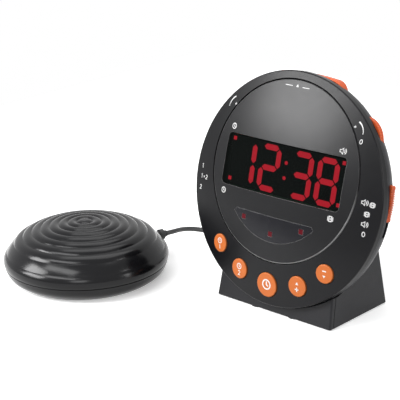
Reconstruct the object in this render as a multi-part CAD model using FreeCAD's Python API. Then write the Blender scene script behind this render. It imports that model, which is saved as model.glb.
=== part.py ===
import FreeCAD, Part
import math
import os

# A bed shaker alarm clock. A round head with a domed front leans back in a hollow stand,
# and a round shaker pad lies beside it, joined to the stand by a thin lead.
# X is to the right as seen from the front, Y goes to the back and Z is up. The origin is
# the middle of the stand's footprint, at the level of the table.
# Lengths are millimetres and angles are degrees.

# Clearances, shared by all pieces
seat_gap = 0.1
snug_gap = 0.15
run_gap = 0.3
overrun = 6.0

# Head: the domed front and where the head stands
face_radius = 70.0
dome_rise = 8.8
lean_angle = 13.9
rim_lift = 6.7
rim_forward = 3.9

# Front bezel, a crescent ring around the face panel
bezel_wall = 2.6
bezel_depth = 4.3
rim_round = 0.9
boss_radius = 2.8

# Face panel, the smaller disc set into the bezel
panel_top_margin = 4.6
panel_bottom_margin = 26.2
panel_thickness = 2.2
panel_groove = 0.55
panel_edge = 0.5
lip_width = 1.6
lip_thickness = 1.3

# Smoked display window and the curved alert strip, both set in from behind
window_width = 88.8
window_height = 31.3
window_lift = 11.2
window_corner = 2.5
rebate_width = 1.6
rebate_depth = 1.2
insert_thickness = 2.1
alert_width = 60.0
alert_top_width = 57.0
alert_top = 16.3
alert_tip = 18.3
alert_bottom = 31.6

# Light pipes in the alert strip
pipe_side = 2.8
pipe_flange = 5.2
pipe_flange_thickness = 0.8
pipe_reach = 21.8
pipe_drop = 20.6
pipe_middle_drop = 26.7
led_side = 3.0
led_height = 1.8

# Control board and the display module on it
board_front = 7.8
board_thickness = 1.6
board_radius = 62.0
board_half_width = 49.0
board_top = 22.0
module_width = 85.4
module_height = 29.6
module_front = 1.9
module_shelf = 5.0
module_foot_width = 76.0
module_foot_height = 22.6
digit_drop = 0.85
digit_height = 28.2
digit_width = 15.6
segment_width = 3.4
segment_gap = 0.6
segment_thickness = 0.25
inner_digit = 12.2
outer_digit = 30.8
dot_side = 2.2
colon_reach = 4.5
corner_dot = 41.1
corner_dot_reach = 12.2
tact_side = 6.0
tact_height = 3.4
plunger_radius = 1.7
plunger_height = 0.9

# Screws of one size hold the board, the shells and the speaker
screw_radius = 1.1
screw_head_radius = 2.3
screw_head_height = 1.4
screw_length = 6.5
hole_radius = 1.25
board_boss_x = 46.0
board_boss_drop = 29.0
panel_boss_x = 44.0
panel_boss_drop = 12.5

# Front buttons on a circle around the face centre
button_inset = 12.4
inner_button_angle = 22.8
outer_button_angle = 44.2
large_button = 14.7
middle_button = 12.2
small_button = 11.2
button_proud = 0.9
button_edge = 0.5
button_flange = 1.4
button_flange_thickness = 1.0
button_post_radius = 2.0
button_travel = 0.8

# Rear housing
seam_gap = 0.6
housing_step = 0.6
housing_wall = 2.2
shoulder_depth = 13.5
shoulder_round = 16.0
back_radius = 42.0
back_round = 8.0
head_depth = 32.0
shell_screw_depth = 12.5
shell_screw_length = 11.0
high_boss_inset = 5.2
high_boss_angle = 57.0
low_boss_inset = 10.0
low_boss_angle = -27.0

# Loudspeaker behind the grille in the back
speaker_lift = 10.0
speaker_radius = 28.5
speaker_rim = 4.0
speaker_plate = 1.2
speaker_depth = 12.0
basket_wall = 1.0
magnet_radius = 14.0
magnet_height = 6.0
cone_wall = 0.6
cone_neck = 8.0
cone_depth = 6.0
speaker_screw_reach = 1.9
speaker_boss_height = 1.2
speaker_boss_radius = 2.6
speaker_ear_radius = 3.2
speaker_screw_length = 4.0
speaker_screw_angles = (30.0, 150.0, 270.0)
grille_hole = 1.3
grille_pitch = 5.0
grille_rings = 5
grille_first_count = 6

# Snooze bar on top of the rim
snooze_half = 26.3
snooze_end_drop = 2.5
snooze_middle_drop = 0.05
snooze_end_round = 8.0
snooze_crown = 170.0
snooze_front = 6.1
snooze_width = 6.4
snooze_flange_out = 2.2
snooze_flange_drop = 5.5
snooze_flange_thickness = 2.0
snooze_flange_front = 5.2
snooze_flange_width = 8.0
snooze_travel = 1.2
snooze_board_width = 16.0
shelf_thickness = 2.2
shelf_half = 7.0
shelf_depth = 26.0

# Thumbwheels: dimmer on the right, volume on the left
wheel_radius = 14.0
wheel_inset = 13.3
wheel_angle = 41.0
wheel_front = 7.2
wheel_thickness = 3.6
wheel_gap = 0.4
knurl_radius = 0.5
knurl_count = 56
pot_radius = 5.0
pot_depth = 3.5
pot_shaft_radius = 1.5
shaft_gap = 0.05
pot_boss_radius = 5.0

# Slide knobs: mode on the right, alarm choice on the left
knob_length = 21.0
knob_width = 3.7
knob_front = 7.4
knob_proud = 0.5
knob_crown = 60.0
knob_edge = 0.9
knob_travel = 9.0
knob_slot_gap = 0.4
knob_centre = 5.1
knob_rib_pitch = 1.3
knob_rib_depth = 0.3
knob_rib_width = 0.5
knob_rib_count = 13
tongue_length = 3.0
tongue_width = 1.6
tongue_depth = 2.6
switch_front = 6.2
switch_depth = 7.0
switch_half = 15.5
switch_inset = 7.7
switch_reach = 8.3
switch_rib_half = 4.0
switch_rib_thickness = 2.6

# Stand: front panel, shell and base plate
stand_width = 87.9
stand_depth = 55.6
stand_height = 50.0
stand_wall = 2.4
stand_corner = 1.2
stand_lift = 0.8
front_lean = 10.7
rear_lean = 7.1
side_lean = 3.3
lean_height = 50.0
front_reach = 2.9
stand_seam = 0.5
base_thickness = 2.4
foot_radius = 4.5
foot_stud_radius = 1.5
foot_sink = 0.6
front_foot_x = 14.3
front_foot_setback = 4.9
rear_foot_inset = 10.95
rear_foot_setback = 8.3
stand_screw_inset = 8.95
stand_screw_front = 11.0
stand_screw_rear = 9.0
stand_post_height = 10.0
web_low = 37.0
web_high = 22.0
web_thickness = 2.4
head_screw_x = 22.0
head_screw_drop = 29.0
head_boss_height = 6.5

# Battery compartment in the stand's base
cell_radius = 5.15
cell_length = 44.5
cell_nub_radius = 1.9
cell_nub_length = 0.8
cell_pitch = 10.6
cell_setback = 18.5
tray_wall = 1.2
contact_side = 8.0
contact_thickness = 0.8
door_thickness = 1.6
door_half = 24.0
door_setback = 26.3
door_tongue = 1.2
door_tongue_thickness = 0.6
door_tongue_drop = 0.2
door_grip_pitch = 2.0
door_grip_width = 0.8
door_grip_depth = 0.4
door_grip_count = 5
door_travel = 24.0

# Jacks in the stand's rear wall
jack_x = 20.0
jack_height = 22.6
jack_body_width = 10.0
jack_body_height = 11.0
jack_body_length = 12.0
jack_body_setback = 6.6
jack_nose_radius = 3.9
jack_rim = 0.6
shaker_bore = 1.85
power_bore = 2.9
power_pin_radius = 1.0
jack_board_inset = 9.95
jack_board_setback = 6.3
jack_board_depth = 16.0
jack_post_inset = 3.5
jack_post_setback = 13.3
jack_post_radius = 3.0

# Shaker pad
pad_x = -131.95
pad_y = -55.57
pad_radius = 52.8
pad_base_radius = 44.6
pad_base_round = 4.0
pad_side_radius = 50.6
pad_side_height = 4.8
pad_side_round = 9.0
pad_rim_radius = 52.2
pad_widest = 14.6
pad_low = 9.8
pad_lift = 0.6
pad_seam = 10.0
pad_seam_gap = 0.4
pad_height = 36.3
pad_flatness = 2.22
pad_shoulder = 2.16
pad_wall = 2.4
ripple_first = 5.1
ripple_pitch = 5.8
ripple_count = 8
ripple_height = 0.9
pad_shoulder_reach = 50.6
inner_stops = (1.0, 0.985, 0.94, 0.86, 0.75, 0.5, 0.0)
pad_foot_circle = 36.0
pad_foot_radius = 4.5
pad_foot_sink = 0.8
pad_screw_circle = 37.0
pad_screw_count = 4
pad_screw_angle = 45.0
pad_foot_count = 4
pad_post_radius = 3.2

# Motor with an eccentric weight, in the pad
motor_radius = 12.0
motor_length = 30.0
motor_axis = 15.6
motor_neck_radius = 4.0
motor_neck_length = 1.5
rotor_radius = 1.0
rotor_gap = 0.06
rotor_inside = 8.0
rotor_reach = 12.5
weight_radius = 11.0
weight_thickness = 7.0
weight_start = 4.0
weight_hub = 3.4
saddle_half = 9.5
saddle_width = 2.4
saddle_inset = 5.0
strap_thickness = 1.4
strap_width = 11.0
strap_foot = 8.0
strap_boss_height = 2.6

# Lead between the pad and the stand
lead_diameter = 3.2
exit_angle = 73.0
exit_height = 15.8
exit_reach = 56.1
grommet_collar = 3.0
grommet_collar_radius = 3.5
grommet_neck_radius = 2.8
grommet_inside = 47.0
plug_start = 25.1
plug_straight = 14.0
plug_length = 23.9
plug_radius = 4.2
plug_tail_radius = 2.5
plug_pin_radius = 1.75
plug_pin_length = 13.0
plug_ring_depth = 0.5
plug_ring_count = 3
coil_x = -56.025
coil_y = 91.2
coil_middle_radius = 19.2
coil_pitch = 3.7
coil_layer_turns = 3.5
coil_layers = 4
coil_extra_turns = 0.5
tie_thickness = 0.5
tie_width = 4.0

# The lead's free stretches lie as in the photograph, so their points are a chosen list
run_points = [
    (-115.55, -1.92, 15.8),
    (-113.5, 4.77, 15.8),
    (-116.2, 16.0, 13.8),
    (-115.9, 27.0, 11.1),
    (-111.5, 38.0, 7.3),
    (-104.6, 48.3, 3.6),
    (-95.8, 57.8, 1.9),
    (-86.6, 67.0, 2.1),
    (-81.7, 78.0, 2.4),
    (-81.7, 88.0, 2.4),
]
tail_points = [
    (-28.5, 88.0, 13.5),
    (-28.5, 76.0, 13.5),
    (-20.0, 60.5, 22.6),
    (-20.0, 49.0, 22.6),
]

# Places that follow from the values above
sphere_radius = (face_radius ** 2 + dome_rise ** 2) / (2 * dome_rise)
lean = math.radians(lean_angle)
head_y = -stand_depth / 2 - rim_forward + face_radius * math.sin(lean)
head_z = rim_lift + face_radius * math.cos(lean)
housing_front = bezel_depth + seam_gap
housing_radius = face_radius - housing_step
back_inner = head_depth - housing_wall
lead_radius = lead_diameter / 2
panel_radius = face_radius - (panel_top_margin + panel_bottom_margin) / 2
panel_lift = (panel_bottom_margin - panel_top_margin) / 2
digit_lift = window_lift - digit_drop
button_circle = face_radius - button_inset
wheel_circle = face_radius - wheel_inset
switch_outer = face_radius - switch_inset
switch_inner = switch_outer - switch_reach
knob_reach = housing_radius + knob_proud
stand_screw_x = stand_width / 2 - stand_screw_inset
rear_foot_x = stand_width / 2 - rear_foot_inset
jack_board_half = stand_width / 2 - jack_board_inset
jack_post_x = jack_board_half - jack_post_inset
front_foot_y = stand_depth / 2 - front_foot_setback
rear_foot_y = stand_depth / 2 - rear_foot_setback
cell_centre_y = stand_depth / 2 - cell_setback
door_front = stand_depth / 2 - door_setback
jack_body_rear = stand_depth / 2 - jack_body_setback
jack_body_front = jack_body_rear - jack_body_length
jack_board_front = stand_depth / 2 - jack_board_setback - jack_board_depth
jack_post_y = stand_depth / 2 - jack_post_setback

X_AXIS = FreeCAD.Vector(1, 0, 0)
Y_AXIS = FreeCAD.Vector(0, 1, 0)
Z_AXIS = FreeCAD.Vector(0, 0, 1)

nodes = {}


# Helpers for outlines and simple solids
def vec(x, y, z=0.0):
    return FreeCAD.Vector(x, y, z)


def unit(vector):
    return vector * (1 / vector.Length)


def arc(start, middle, end):
    return Part.Arc(start, middle, end).toShape()


def tangent_edges(points, radii, closed):
    """Straight runs between the points, joined at each point by a tangent arc of its radius."""
    count = len(points)
    corners = []
    for index, point in enumerate(points):
        radius = radii[index]
        inside = closed or 0 < index < count - 1
        if not inside or radius == 0:
            corners.append((point, None, point))
            continue
        before = unit(point - points[index - 1])
        after = unit(points[(index + 1) % count] - point)
        half_turn = before.getAngle(after) / 2
        reach = radius * math.tan(half_turn)
        inward = unit(after - before)
        middle = point + inward * (radius / math.cos(half_turn) - radius)
        corners.append((point - before * reach, middle, point + after * reach))
    edges = []
    for index, (entry, middle, leave) in enumerate(corners):
        if middle is not None:
            edges.append(arc(entry, middle, leave))
        if index == count - 1 and not closed:
            break
        following = corners[(index + 1) % count][0]
        if (following - leave).Length > seat_gap / 1000:
            edges.append(Part.makeLine(leave, following))
    return edges


def face_of(points, radii=None):
    corners = [vec(*point) for point in points]
    radii = radii or [0] * len(corners)
    return Part.Face(Part.Wire(tangent_edges(corners, radii, True)))


def prism(points, low, high, radii=None):
    """An outline in X and Y, extruded from one level to another."""
    solid = face_of(points, radii).extrude(Z_AXIS * (high - low))
    solid.translate(Z_AXIS * low)
    return solid


def fitting_round(points, index, radius):
    """The radius of a rounded corner, or the largest that its shorter straight side takes."""
    start, corner, end = (vec(*point) for point in points[index - 1:index + 2])
    room = min((corner - start).Length, (end - corner).Length)
    return min(radius, room / math.tan((corner - start).getAngle(end - corner) / 2))


def turned(points, radii=None):
    """A profile of (radius, height) points, turned about the Z axis."""
    profile = [(radius, 0, height) for radius, height in points]
    return face_of(profile, radii).revolve(vec(0, 0), Z_AXIS, 360)


def block(x_span, y_span, z_span):
    corner = vec(min(x_span), min(y_span), min(z_span))
    sides = [abs(span[1] - span[0]) for span in (x_span, y_span, z_span)]
    return Part.makeBox(sides[0], sides[1], sides[2], corner)


def rod(radius, x, y, low, high):
    return Part.makeCylinder(radius, high - low, vec(x, y, low))


def rod_along(radius, start, axis, length):
    return Part.makeCylinder(radius, length, start, axis)


def fused(shapes):
    return shapes[0].multiFuse(shapes[1:]).removeSplitter()


def cut_all(shape, tools):
    return shape.cut(Part.makeCompound(tools)) if tools else shape


def polar(circle, angle):
    turn = math.radians(angle)
    return circle * math.cos(turn), circle * math.sin(turn)


def rectangle(width, height, lift, corner=0.0):
    """A rectangle about X = 0 at a height, with rounded corners."""
    half = width / 2
    low = lift - height / 2
    high = lift + height / 2
    points = [(-half, low), (half, low), (half, high), (-half, high)]
    return points, [corner] * len(points)


def inset(points, distance):
    """An open outline of (radius, height) points moved to its right hand side by a distance."""
    lines = []
    for start, end in zip(points, points[1:]):
        run = (end[0] - start[0], end[1] - start[1])
        length = math.hypot(*run)
        normal = (run[1] / length, -run[0] / length)
        shift = (start[0] + normal[0] * distance, start[1] + normal[1] * distance)
        lines.append((shift, run))
    moved = [lines[0][0]]
    for (p, u), (q, w) in zip(lines, lines[1:]):
        cross = u[0] * w[1] - u[1] * w[0]
        share = ((q[0] - p[0]) * w[1] - (q[1] - p[1]) * w[0]) / cross
        moved.append((p[0] + u[0] * share, p[1] + u[1] * share))
    last, run = lines[-1]
    moved.append((last[0] + run[0], last[1] + run[1]))
    return moved


def edge_ring(shape, radius, level, tolerance):
    """The round edges of a shape that have a radius and lie at a level."""
    found = []
    for edge in shape.Edges:
        if edge.Degenerated or not isinstance(edge.Curve, Part.Circle):
            continue
        near = abs(edge.CenterOfMass.z - level) < tolerance
        if near and abs(edge.Curve.Radius - radius) < tolerance:
            found.append(edge)
    return found


# Helpers for the domed front, in the head's own frame: Z points out of the face and
# the origin is the centre of the rim's front edge
def dome_height(radius, depth):
    """The height of the surface that lies a depth below the dome, at a radius."""
    sphere = sphere_radius - depth
    return math.sqrt(sphere ** 2 - radius ** 2) - (sphere_radius - dome_rise)


def dome_arc(start_radius, end_radius, depth):
    radii = (start_radius, (start_radius + end_radius) / 2, end_radius)
    ends = [vec(radius, 0, dome_height(radius, depth)) for radius in radii]
    return arc(*ends)


def dome_layer(top, bottom, radius):
    """The skin between two depths below the dome, out to a radius."""
    outer = dome_arc(0, radius, top)
    inner = dome_arc(radius, 0, bottom)
    sides = [(radius, dome_height(radius, top)), (radius, dome_height(radius, bottom))]
    middle = [(0, dome_height(0, bottom)), (0, dome_height(0, top))]
    wall = Part.makeLine(vec(sides[0][0], 0, sides[0][1]), vec(sides[1][0], 0, sides[1][1]))
    axis = Part.makeLine(vec(0, 0, middle[0][1]), vec(0, 0, middle[1][1]))
    return Part.Face(Part.Wire([outer, wall, inner, axis])).revolve(vec(0, 0), Z_AXIS, 360)


def under_dome(depth, radius, low):
    """Everything below a depth under the dome, down to a level."""
    outer = dome_arc(0, radius, depth)
    wall = Part.makeLine(vec(radius, 0, dome_height(radius, depth)), vec(radius, 0, low))
    floor = Part.makeLine(vec(radius, 0, low), vec(0, 0, low))
    axis = Part.makeLine(vec(0, 0, low), vec(0, 0, dome_height(0, depth)))
    return Part.Face(Part.Wire([outer, wall, floor, axis])).revolve(vec(0, 0), Z_AXIS, 360)


def domed(points, radii, top, bottom):
    """A flat outline carried through the dome between two depths."""
    tall = prism(points, -dome_rise - overrun, dome_rise + overrun, radii)
    return tall.common(dome_layer(top, bottom, face_radius))


def head_shape(growth):
    """The head's closed outer form, grown all over by a clearance."""
    outline = [
        (face_radius, 0),
        (face_radius, -shoulder_depth),
        (back_radius, -head_depth),
        (0, -head_depth),
    ]
    outline = inset(outline, -growth)
    radii = [0, shoulder_round + growth, back_round + growth, 0]
    top = math.sqrt((sphere_radius + growth) ** 2 - outline[0][0] ** 2)
    top = top - (sphere_radius - dome_rise)
    start = vec(outline[0][0], 0, top)
    rest = [vec(radius, 0, height) for radius, height in outline[1:]]
    sides = tangent_edges([start] + rest, radii, False)
    crown = arc(
        vec(0, 0, dome_height(0, -growth)),
        vec(outline[0][0] / 2, 0, dome_height(outline[0][0] / 2, -growth)),
        start,
    )
    axis = Part.makeLine(rest[-1], vec(0, 0, dome_height(0, -growth)))
    wire = Part.Wire([crown] + sides + [axis])
    return Part.Face(wire).revolve(vec(0, 0), Z_AXIS, 360)


def head_placement():
    tilt = FreeCAD.Rotation(X_AXIS, 90 - lean_angle)
    return FreeCAD.Placement(vec(0, head_y, head_z), tilt)


def placed_head(shape):
    """A copy of a shape, moved from the head's own frame to its place."""
    moved = shape.copy()
    moved.Placement = head_placement().multiply(moved.Placement)
    return moved


def keep_head(name, shape):
    nodes[name] = placed_head(shape)


def keep(name, shape):
    nodes[name] = shape


def screw(x, y, seat, length, into=1):
    """A pan head screw along Z, its head resting on a level, pointing up or down."""
    head = sorted((seat, seat - into * screw_head_height))
    shank = sorted((seat, seat + into * length))
    return fused([
        rod(screw_head_radius, x, y, head[0], head[1]),
        rod(screw_radius, x, y, shank[0], shank[1]),
    ])


def mirrored(x, y):
    return [(x, y), (-x, y)]


# Places of the bosses in the head
board_bosses = mirrored(board_boss_x, -board_boss_drop)
panel_bosses = mirrored(panel_boss_x, -panel_boss_drop)
high_boss = polar(face_radius - high_boss_inset, high_boss_angle)
low_boss = polar(face_radius - low_boss_inset, low_boss_angle)
shell_bosses = mirrored(*high_boss) + mirrored(*low_boss)
right_wheel = polar(wheel_circle, wheel_angle)
wheels = mirrored(*right_wheel)
buttons = [
    ("alarm_one_button", -90 - outer_button_angle, small_button),
    ("alarm_two_button", -90 - inner_button_angle, middle_button),
    ("time_button", -90, large_button),
    ("up_button", -90 + inner_button_angle, middle_button),
    ("down_button", -90 + outer_button_angle, small_button),
]
pipes = [(-pipe_reach, -pipe_drop), (0, -pipe_middle_drop), (pipe_reach, -pipe_drop)]


def smile(growth):
    """The alert strip's outline: a straight top edge and a bottom curve between two tips."""
    tip = alert_width / 2 + growth
    top = alert_top_width / 2 + growth
    high = -alert_top + growth
    left = vec(-tip, -alert_tip)
    right = vec(tip, -alert_tip)
    edges = [
        Part.makeLine(vec(-top, high), vec(top, high)),
        Part.makeLine(vec(top, high), right),
        arc(right, vec(0, -alert_bottom - growth), left),
        Part.makeLine(left, vec(-top, high)),
    ]
    return Part.Face(Part.Wire(edges))


def smile_layer(growth, top, bottom):
    tall = smile(growth).extrude(Z_AXIS * (2 * dome_rise + 2 * overrun))
    tall.translate(Z_AXIS * (-dome_rise - overrun))
    return tall.common(dome_layer(top, bottom, face_radius))


def window_layer(growth, top, bottom):
    outline = rectangle(
        window_width + 2 * growth,
        window_height + 2 * growth,
        window_lift,
        window_corner + growth,
    )
    return domed(outline[0], outline[1], top, bottom)


def square_at(place, side, low, high):
    half = side / 2
    x, y = place
    return block((x - half, x + half), (y - half, y + half), (low, high))


def make_front():
    """The bezel and the face panel, two skins of one dome."""
    inner_radius = face_radius - bezel_wall
    outer = dome_arc(0, face_radius, 0)
    inner = dome_arc(inner_radius, 0, bezel_wall)
    path = [
        vec(face_radius, 0, 0),
        vec(face_radius, 0, -bezel_depth),
        vec(inner_radius, 0, -bezel_depth),
        vec(inner_radius, 0, dome_height(inner_radius, bezel_wall)),
    ]
    walls = tangent_edges(path, [0] * len(path), False)
    axis = Part.makeLine(vec(0, 0, dome_height(0, bezel_wall)), vec(0, 0, dome_height(0, 0)))
    shell = Part.Face(Part.Wire([outer] + walls + [inner, axis])).revolve(vec(0, 0), Z_AXIS, 360)
    shell = shell.makeFillet(rim_round, edge_ring(shell, face_radius, 0, rim_round / 2))
    low = -dome_rise - overrun
    high = dome_rise + overrun
    opening = rod(panel_radius, 0, panel_lift, low, high)
    shell = shell.cut(opening)
    lip = rod(panel_radius + lip_width, 0, panel_lift, low, high)
    lip = lip.cut(rod(panel_radius - lip_width, 0, panel_lift, low, high))
    lip_top = panel_thickness + seat_gap
    lip = lip.common(dome_layer(lip_top, lip_top + lip_thickness, inner_radius + seat_gap))
    below = under_dome(lip_top, inner_radius + seat_gap, -head_depth)
    boss_foot = -housing_front + seat_gap
    bosses = [rod(boss_radius, x, y, boss_foot, dome_rise) for x, y in shell_bosses]
    bosses += [rod(boss_radius, x, y, -board_front + seat_gap, dome_rise) for x, y in board_bosses]
    bezel = fused([shell, lip] + [boss.common(below) for boss in bosses])
    holes = []
    for x, y in shell_bosses + board_bosses:
        hole_end = dome_height(math.hypot(x, y), bezel_wall)
        holes.append(rod(hole_radius - snug_gap, x, y, -overrun * 2, hole_end))
    for name, angle, diameter in buttons:
        x, y = polar(button_circle, angle)
        holes.append(rod(diameter / 2 + run_gap, x, y, low, high))
    keep_head("front_bezel", cut_all(bezel, holes))

    disc = rod(panel_radius - panel_groove, 0, panel_lift, low, high)
    panel = disc.common(dome_layer(0, panel_thickness, face_radius))
    rim = [edge for edge in panel.Edges if edge.BoundBox.ZMax > edge.BoundBox.ZMin + panel_edge]
    rim = [edge for edge in rim if edge.Length > 2 * panel_radius]
    top_edge = max(rim, key=lambda edge: edge.CenterOfMass.z)
    panel = panel.makeChamfer(panel_edge, [top_edge])
    posts = [rod(boss_radius, x, y, -board_front + seat_gap, dome_rise) for x, y in panel_bosses]
    below = under_dome(panel_thickness / 2, inner_radius, -head_depth)
    panel = fused([panel] + [post.common(below) for post in posts])
    deep = panel_thickness + seat_gap
    tools = [
        window_layer(0, -overrun, deep),
        window_layer(rebate_width, rebate_depth, deep),
        smile_layer(0, -overrun, deep),
        smile_layer(rebate_width, rebate_depth, deep),
    ]
    for x, y in panel_bosses:
        hole_end = dome_height(math.hypot(x, y), panel_thickness)
        tools.append(rod(hole_radius - snug_gap, x, y, -overrun * 2, hole_end))
    keep_head("face_panel", cut_all(panel, tools))


def make_inserts():
    """The smoked window, the alert strip and its three light pipes."""
    step = rebate_depth + seat_gap
    flange = rebate_width - snug_gap
    window = [window_layer(-snug_gap, seat_gap / 2, step + seat_gap)]
    window.append(window_layer(flange, step, insert_thickness))
    keep_head("display_window", fused(window))
    strip = [smile_layer(-snug_gap, seat_gap / 2, step + seat_gap)]
    strip.append(smile_layer(flange, step, insert_thickness))
    holes = [square_at(place, pipe_side + 2 * snug_gap, -overrun, dome_rise + overrun) for place in pipes]
    keep_head("alert_strip", cut_all(fused(strip), holes))
    solids = []
    foot = -board_front + led_height + run_gap
    flange_top = insert_thickness + seat_gap
    for place in pipes:
        stem = square_at(place, pipe_side, foot, dome_rise + overrun)
        stem = stem.common(under_dome(0, face_radius, -head_depth))
        plate = square_at(place, pipe_flange, -overrun, dome_rise + overrun)
        plate = plate.common(dome_layer(flange_top, flange_top + pipe_flange_thickness, face_radius))
        solids.append(fused([stem, plate]))
    keep_head("alert_light_pipes", Part.makeCompound(solids))


def make_board():
    """The control board with the display module, the alert lamps and the key switches."""
    front = -board_front
    rear = front - board_thickness
    board = rod(board_radius, 0, 0, rear, front)
    kept = block((-board_half_width, board_half_width), (-board_radius, board_top), (rear, front))
    board = board.common(kept)
    board_holes = [rod(hole_radius, x, y, rear - overrun, front + overrun)
                   for x, y in board_bosses + panel_bosses]
    keep_head("control_board", cut_all(board, board_holes))
    lamps = [square_at(place, led_side, front, front + led_height) for place in pipes]
    keep_head("alert_lamps", Part.makeCompound(lamps))
    body = rectangle(module_width, module_height, digit_lift)[0]
    foot = rectangle(module_foot_width, module_foot_height, digit_lift)[0]
    module = [prism(body, -module_shelf, module_front), prism(foot, front + seat_gap, -module_shelf)]
    keep_head("display_module", fused(module))
    switches = []
    for name, angle, diameter in buttons:
        x, y = polar(button_circle, angle)
        body = square_at((x, y), tact_side, front, front + tact_height)
        stub = rod(plunger_radius, x, y, front + tact_height, front + tact_height + plunger_height)
        switches.append(fused([body, stub]))
    keep_head("key_switches", Part.makeCompound(switches))


def segment_bar(x, y, length, upright):
    """One display bar with pointed ends."""
    half = length / 2
    side = segment_width / 2
    shape = [(-half, 0), (side - half, -side), (half - side, -side), (half, 0), (half - side, side),
             (side - half, side)]
    points = [(x + b, y + a) if upright else (x + a, y + b) for a, b in shape]
    if upright:
        points.reverse()
    low = module_front + seat_gap / 2
    return prism(points, low, low + segment_thickness)


def digit_bars(x, lit):
    """The lit bars of one digit: top, two upper, middle, two lower and bottom."""
    side = (digit_width - segment_width) / 2
    rise = (digit_height - segment_width) / 2
    across = 2 * side - 2 * segment_gap
    along = rise - 2 * segment_gap
    places = {
        "top": (0, rise, across, False),
        "upper_left": (-side, rise / 2, along, True),
        "upper_right": (side, rise / 2, along, True),
        "middle": (0, 0, across, False),
        "lower_left": (-side, -rise / 2, along, True),
        "lower_right": (side, -rise / 2, along, True),
        "bottom": (0, -rise, across, False),
    }
    bars = []
    for name in lit:
        dx, dy, length, upright = places[name]
        bars.append(segment_bar(x + dx, digit_lift + dy, length, upright))
    return bars


def make_digits():
    """The lit bars of the time, the colon and the corner dots."""
    one = ["upper_right", "lower_right"]
    two = ["top", "upper_right", "middle", "lower_left", "bottom"]
    three = ["top", "upper_right", "middle", "lower_right", "bottom"]
    eight = three + ["upper_left", "lower_left"]
    bars = digit_bars(-outer_digit, one) + digit_bars(-inner_digit, two)
    bars += digit_bars(inner_digit, three) + digit_bars(outer_digit, eight)
    low = module_front + seat_gap / 2
    high = low + segment_thickness
    for dy in (-colon_reach, colon_reach):
        bars.append(rod(dot_side / 2, 0, window_lift + dy, low, high))
    for dx in (-corner_dot, corner_dot):
        for dy in (-corner_dot_reach, corner_dot_reach):
            bars.append(square_at((dx, window_lift + dy), dot_side, low, high))
    keep_head("lit_segments", Part.makeCompound(bars))


def make_buttons():
    """Five caps, each with a flange behind the bezel and a post over its switch."""
    switch_top = -board_front + tact_height + plunger_height
    flange_top = bezel_wall + run_gap
    for name, angle, diameter in buttons:
        x, y = polar(button_circle, angle)
        radius = diameter / 2
        cap = rod(radius, x, y, -dome_rise, dome_rise + overrun)
        cap = cap.common(dome_layer(-button_proud, flange_top + seat_gap, face_radius + overrun))
        top_edge = max(cap.Edges, key=lambda edge: edge.CenterOfMass.z)
        cap = cap.makeFillet(button_edge, [top_edge])
        flange = rod(radius + button_flange, x, y, -dome_rise - overrun, dome_rise)
        layer = dome_layer(flange_top, flange_top + button_flange_thickness, face_radius)
        post = rod(button_post_radius, x, y, switch_top + button_travel + run_gap, dome_rise)
        post = post.common(under_dome(flange_top, face_radius, -head_depth))
        keep_head(name, fused([cap, flange.common(layer), post]))


def housing_profile():
    return [
        (housing_radius, -housing_front),
        (housing_radius, -shoulder_depth),
        (back_radius, -head_depth),
        (0, -head_depth),
    ]


def bowl(points, radii):
    """A solid bowl under an outline of (radius, height) points, closed along its top."""
    corners = [vec(radius, 0, height) for radius, height in points]
    edges = tangent_edges(corners, radii, False)
    top = vec(0, 0, corners[0].z)
    edges.append(Part.makeLine(corners[-1], top))
    edges.append(Part.makeLine(top, corners[0]))
    return Part.Face(Part.Wire(edges)).revolve(vec(0, 0), Z_AXIS, 360)


def grille_holes():
    low = -head_depth - overrun
    holes = [rod(grille_hole, 0, speaker_lift, low, -back_inner + overrun)]
    for ring in range(1, grille_rings):
        count = grille_first_count * ring
        for step in range(count):
            x, y = polar(ring * grille_pitch, 360 * step / count)
            holes.append(rod(grille_hole, x, y + speaker_lift, low, -back_inner + overrun))
    return holes


def speaker_bosses():
    places = [polar(speaker_radius + speaker_screw_reach, angle) for angle in speaker_screw_angles]
    return [(x, y + speaker_lift) for x, y in places]


def knob_box(side, length, centre, width_gap):
    """The space of a slide knob's slot through the rim."""
    half = length / 2
    return block(
        (side * switch_outer, side * (face_radius + overrun)),
        (centre - half, centre + half),
        (-knob_front + width_gap, -knob_front - knob_width - width_gap),
    )


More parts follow.
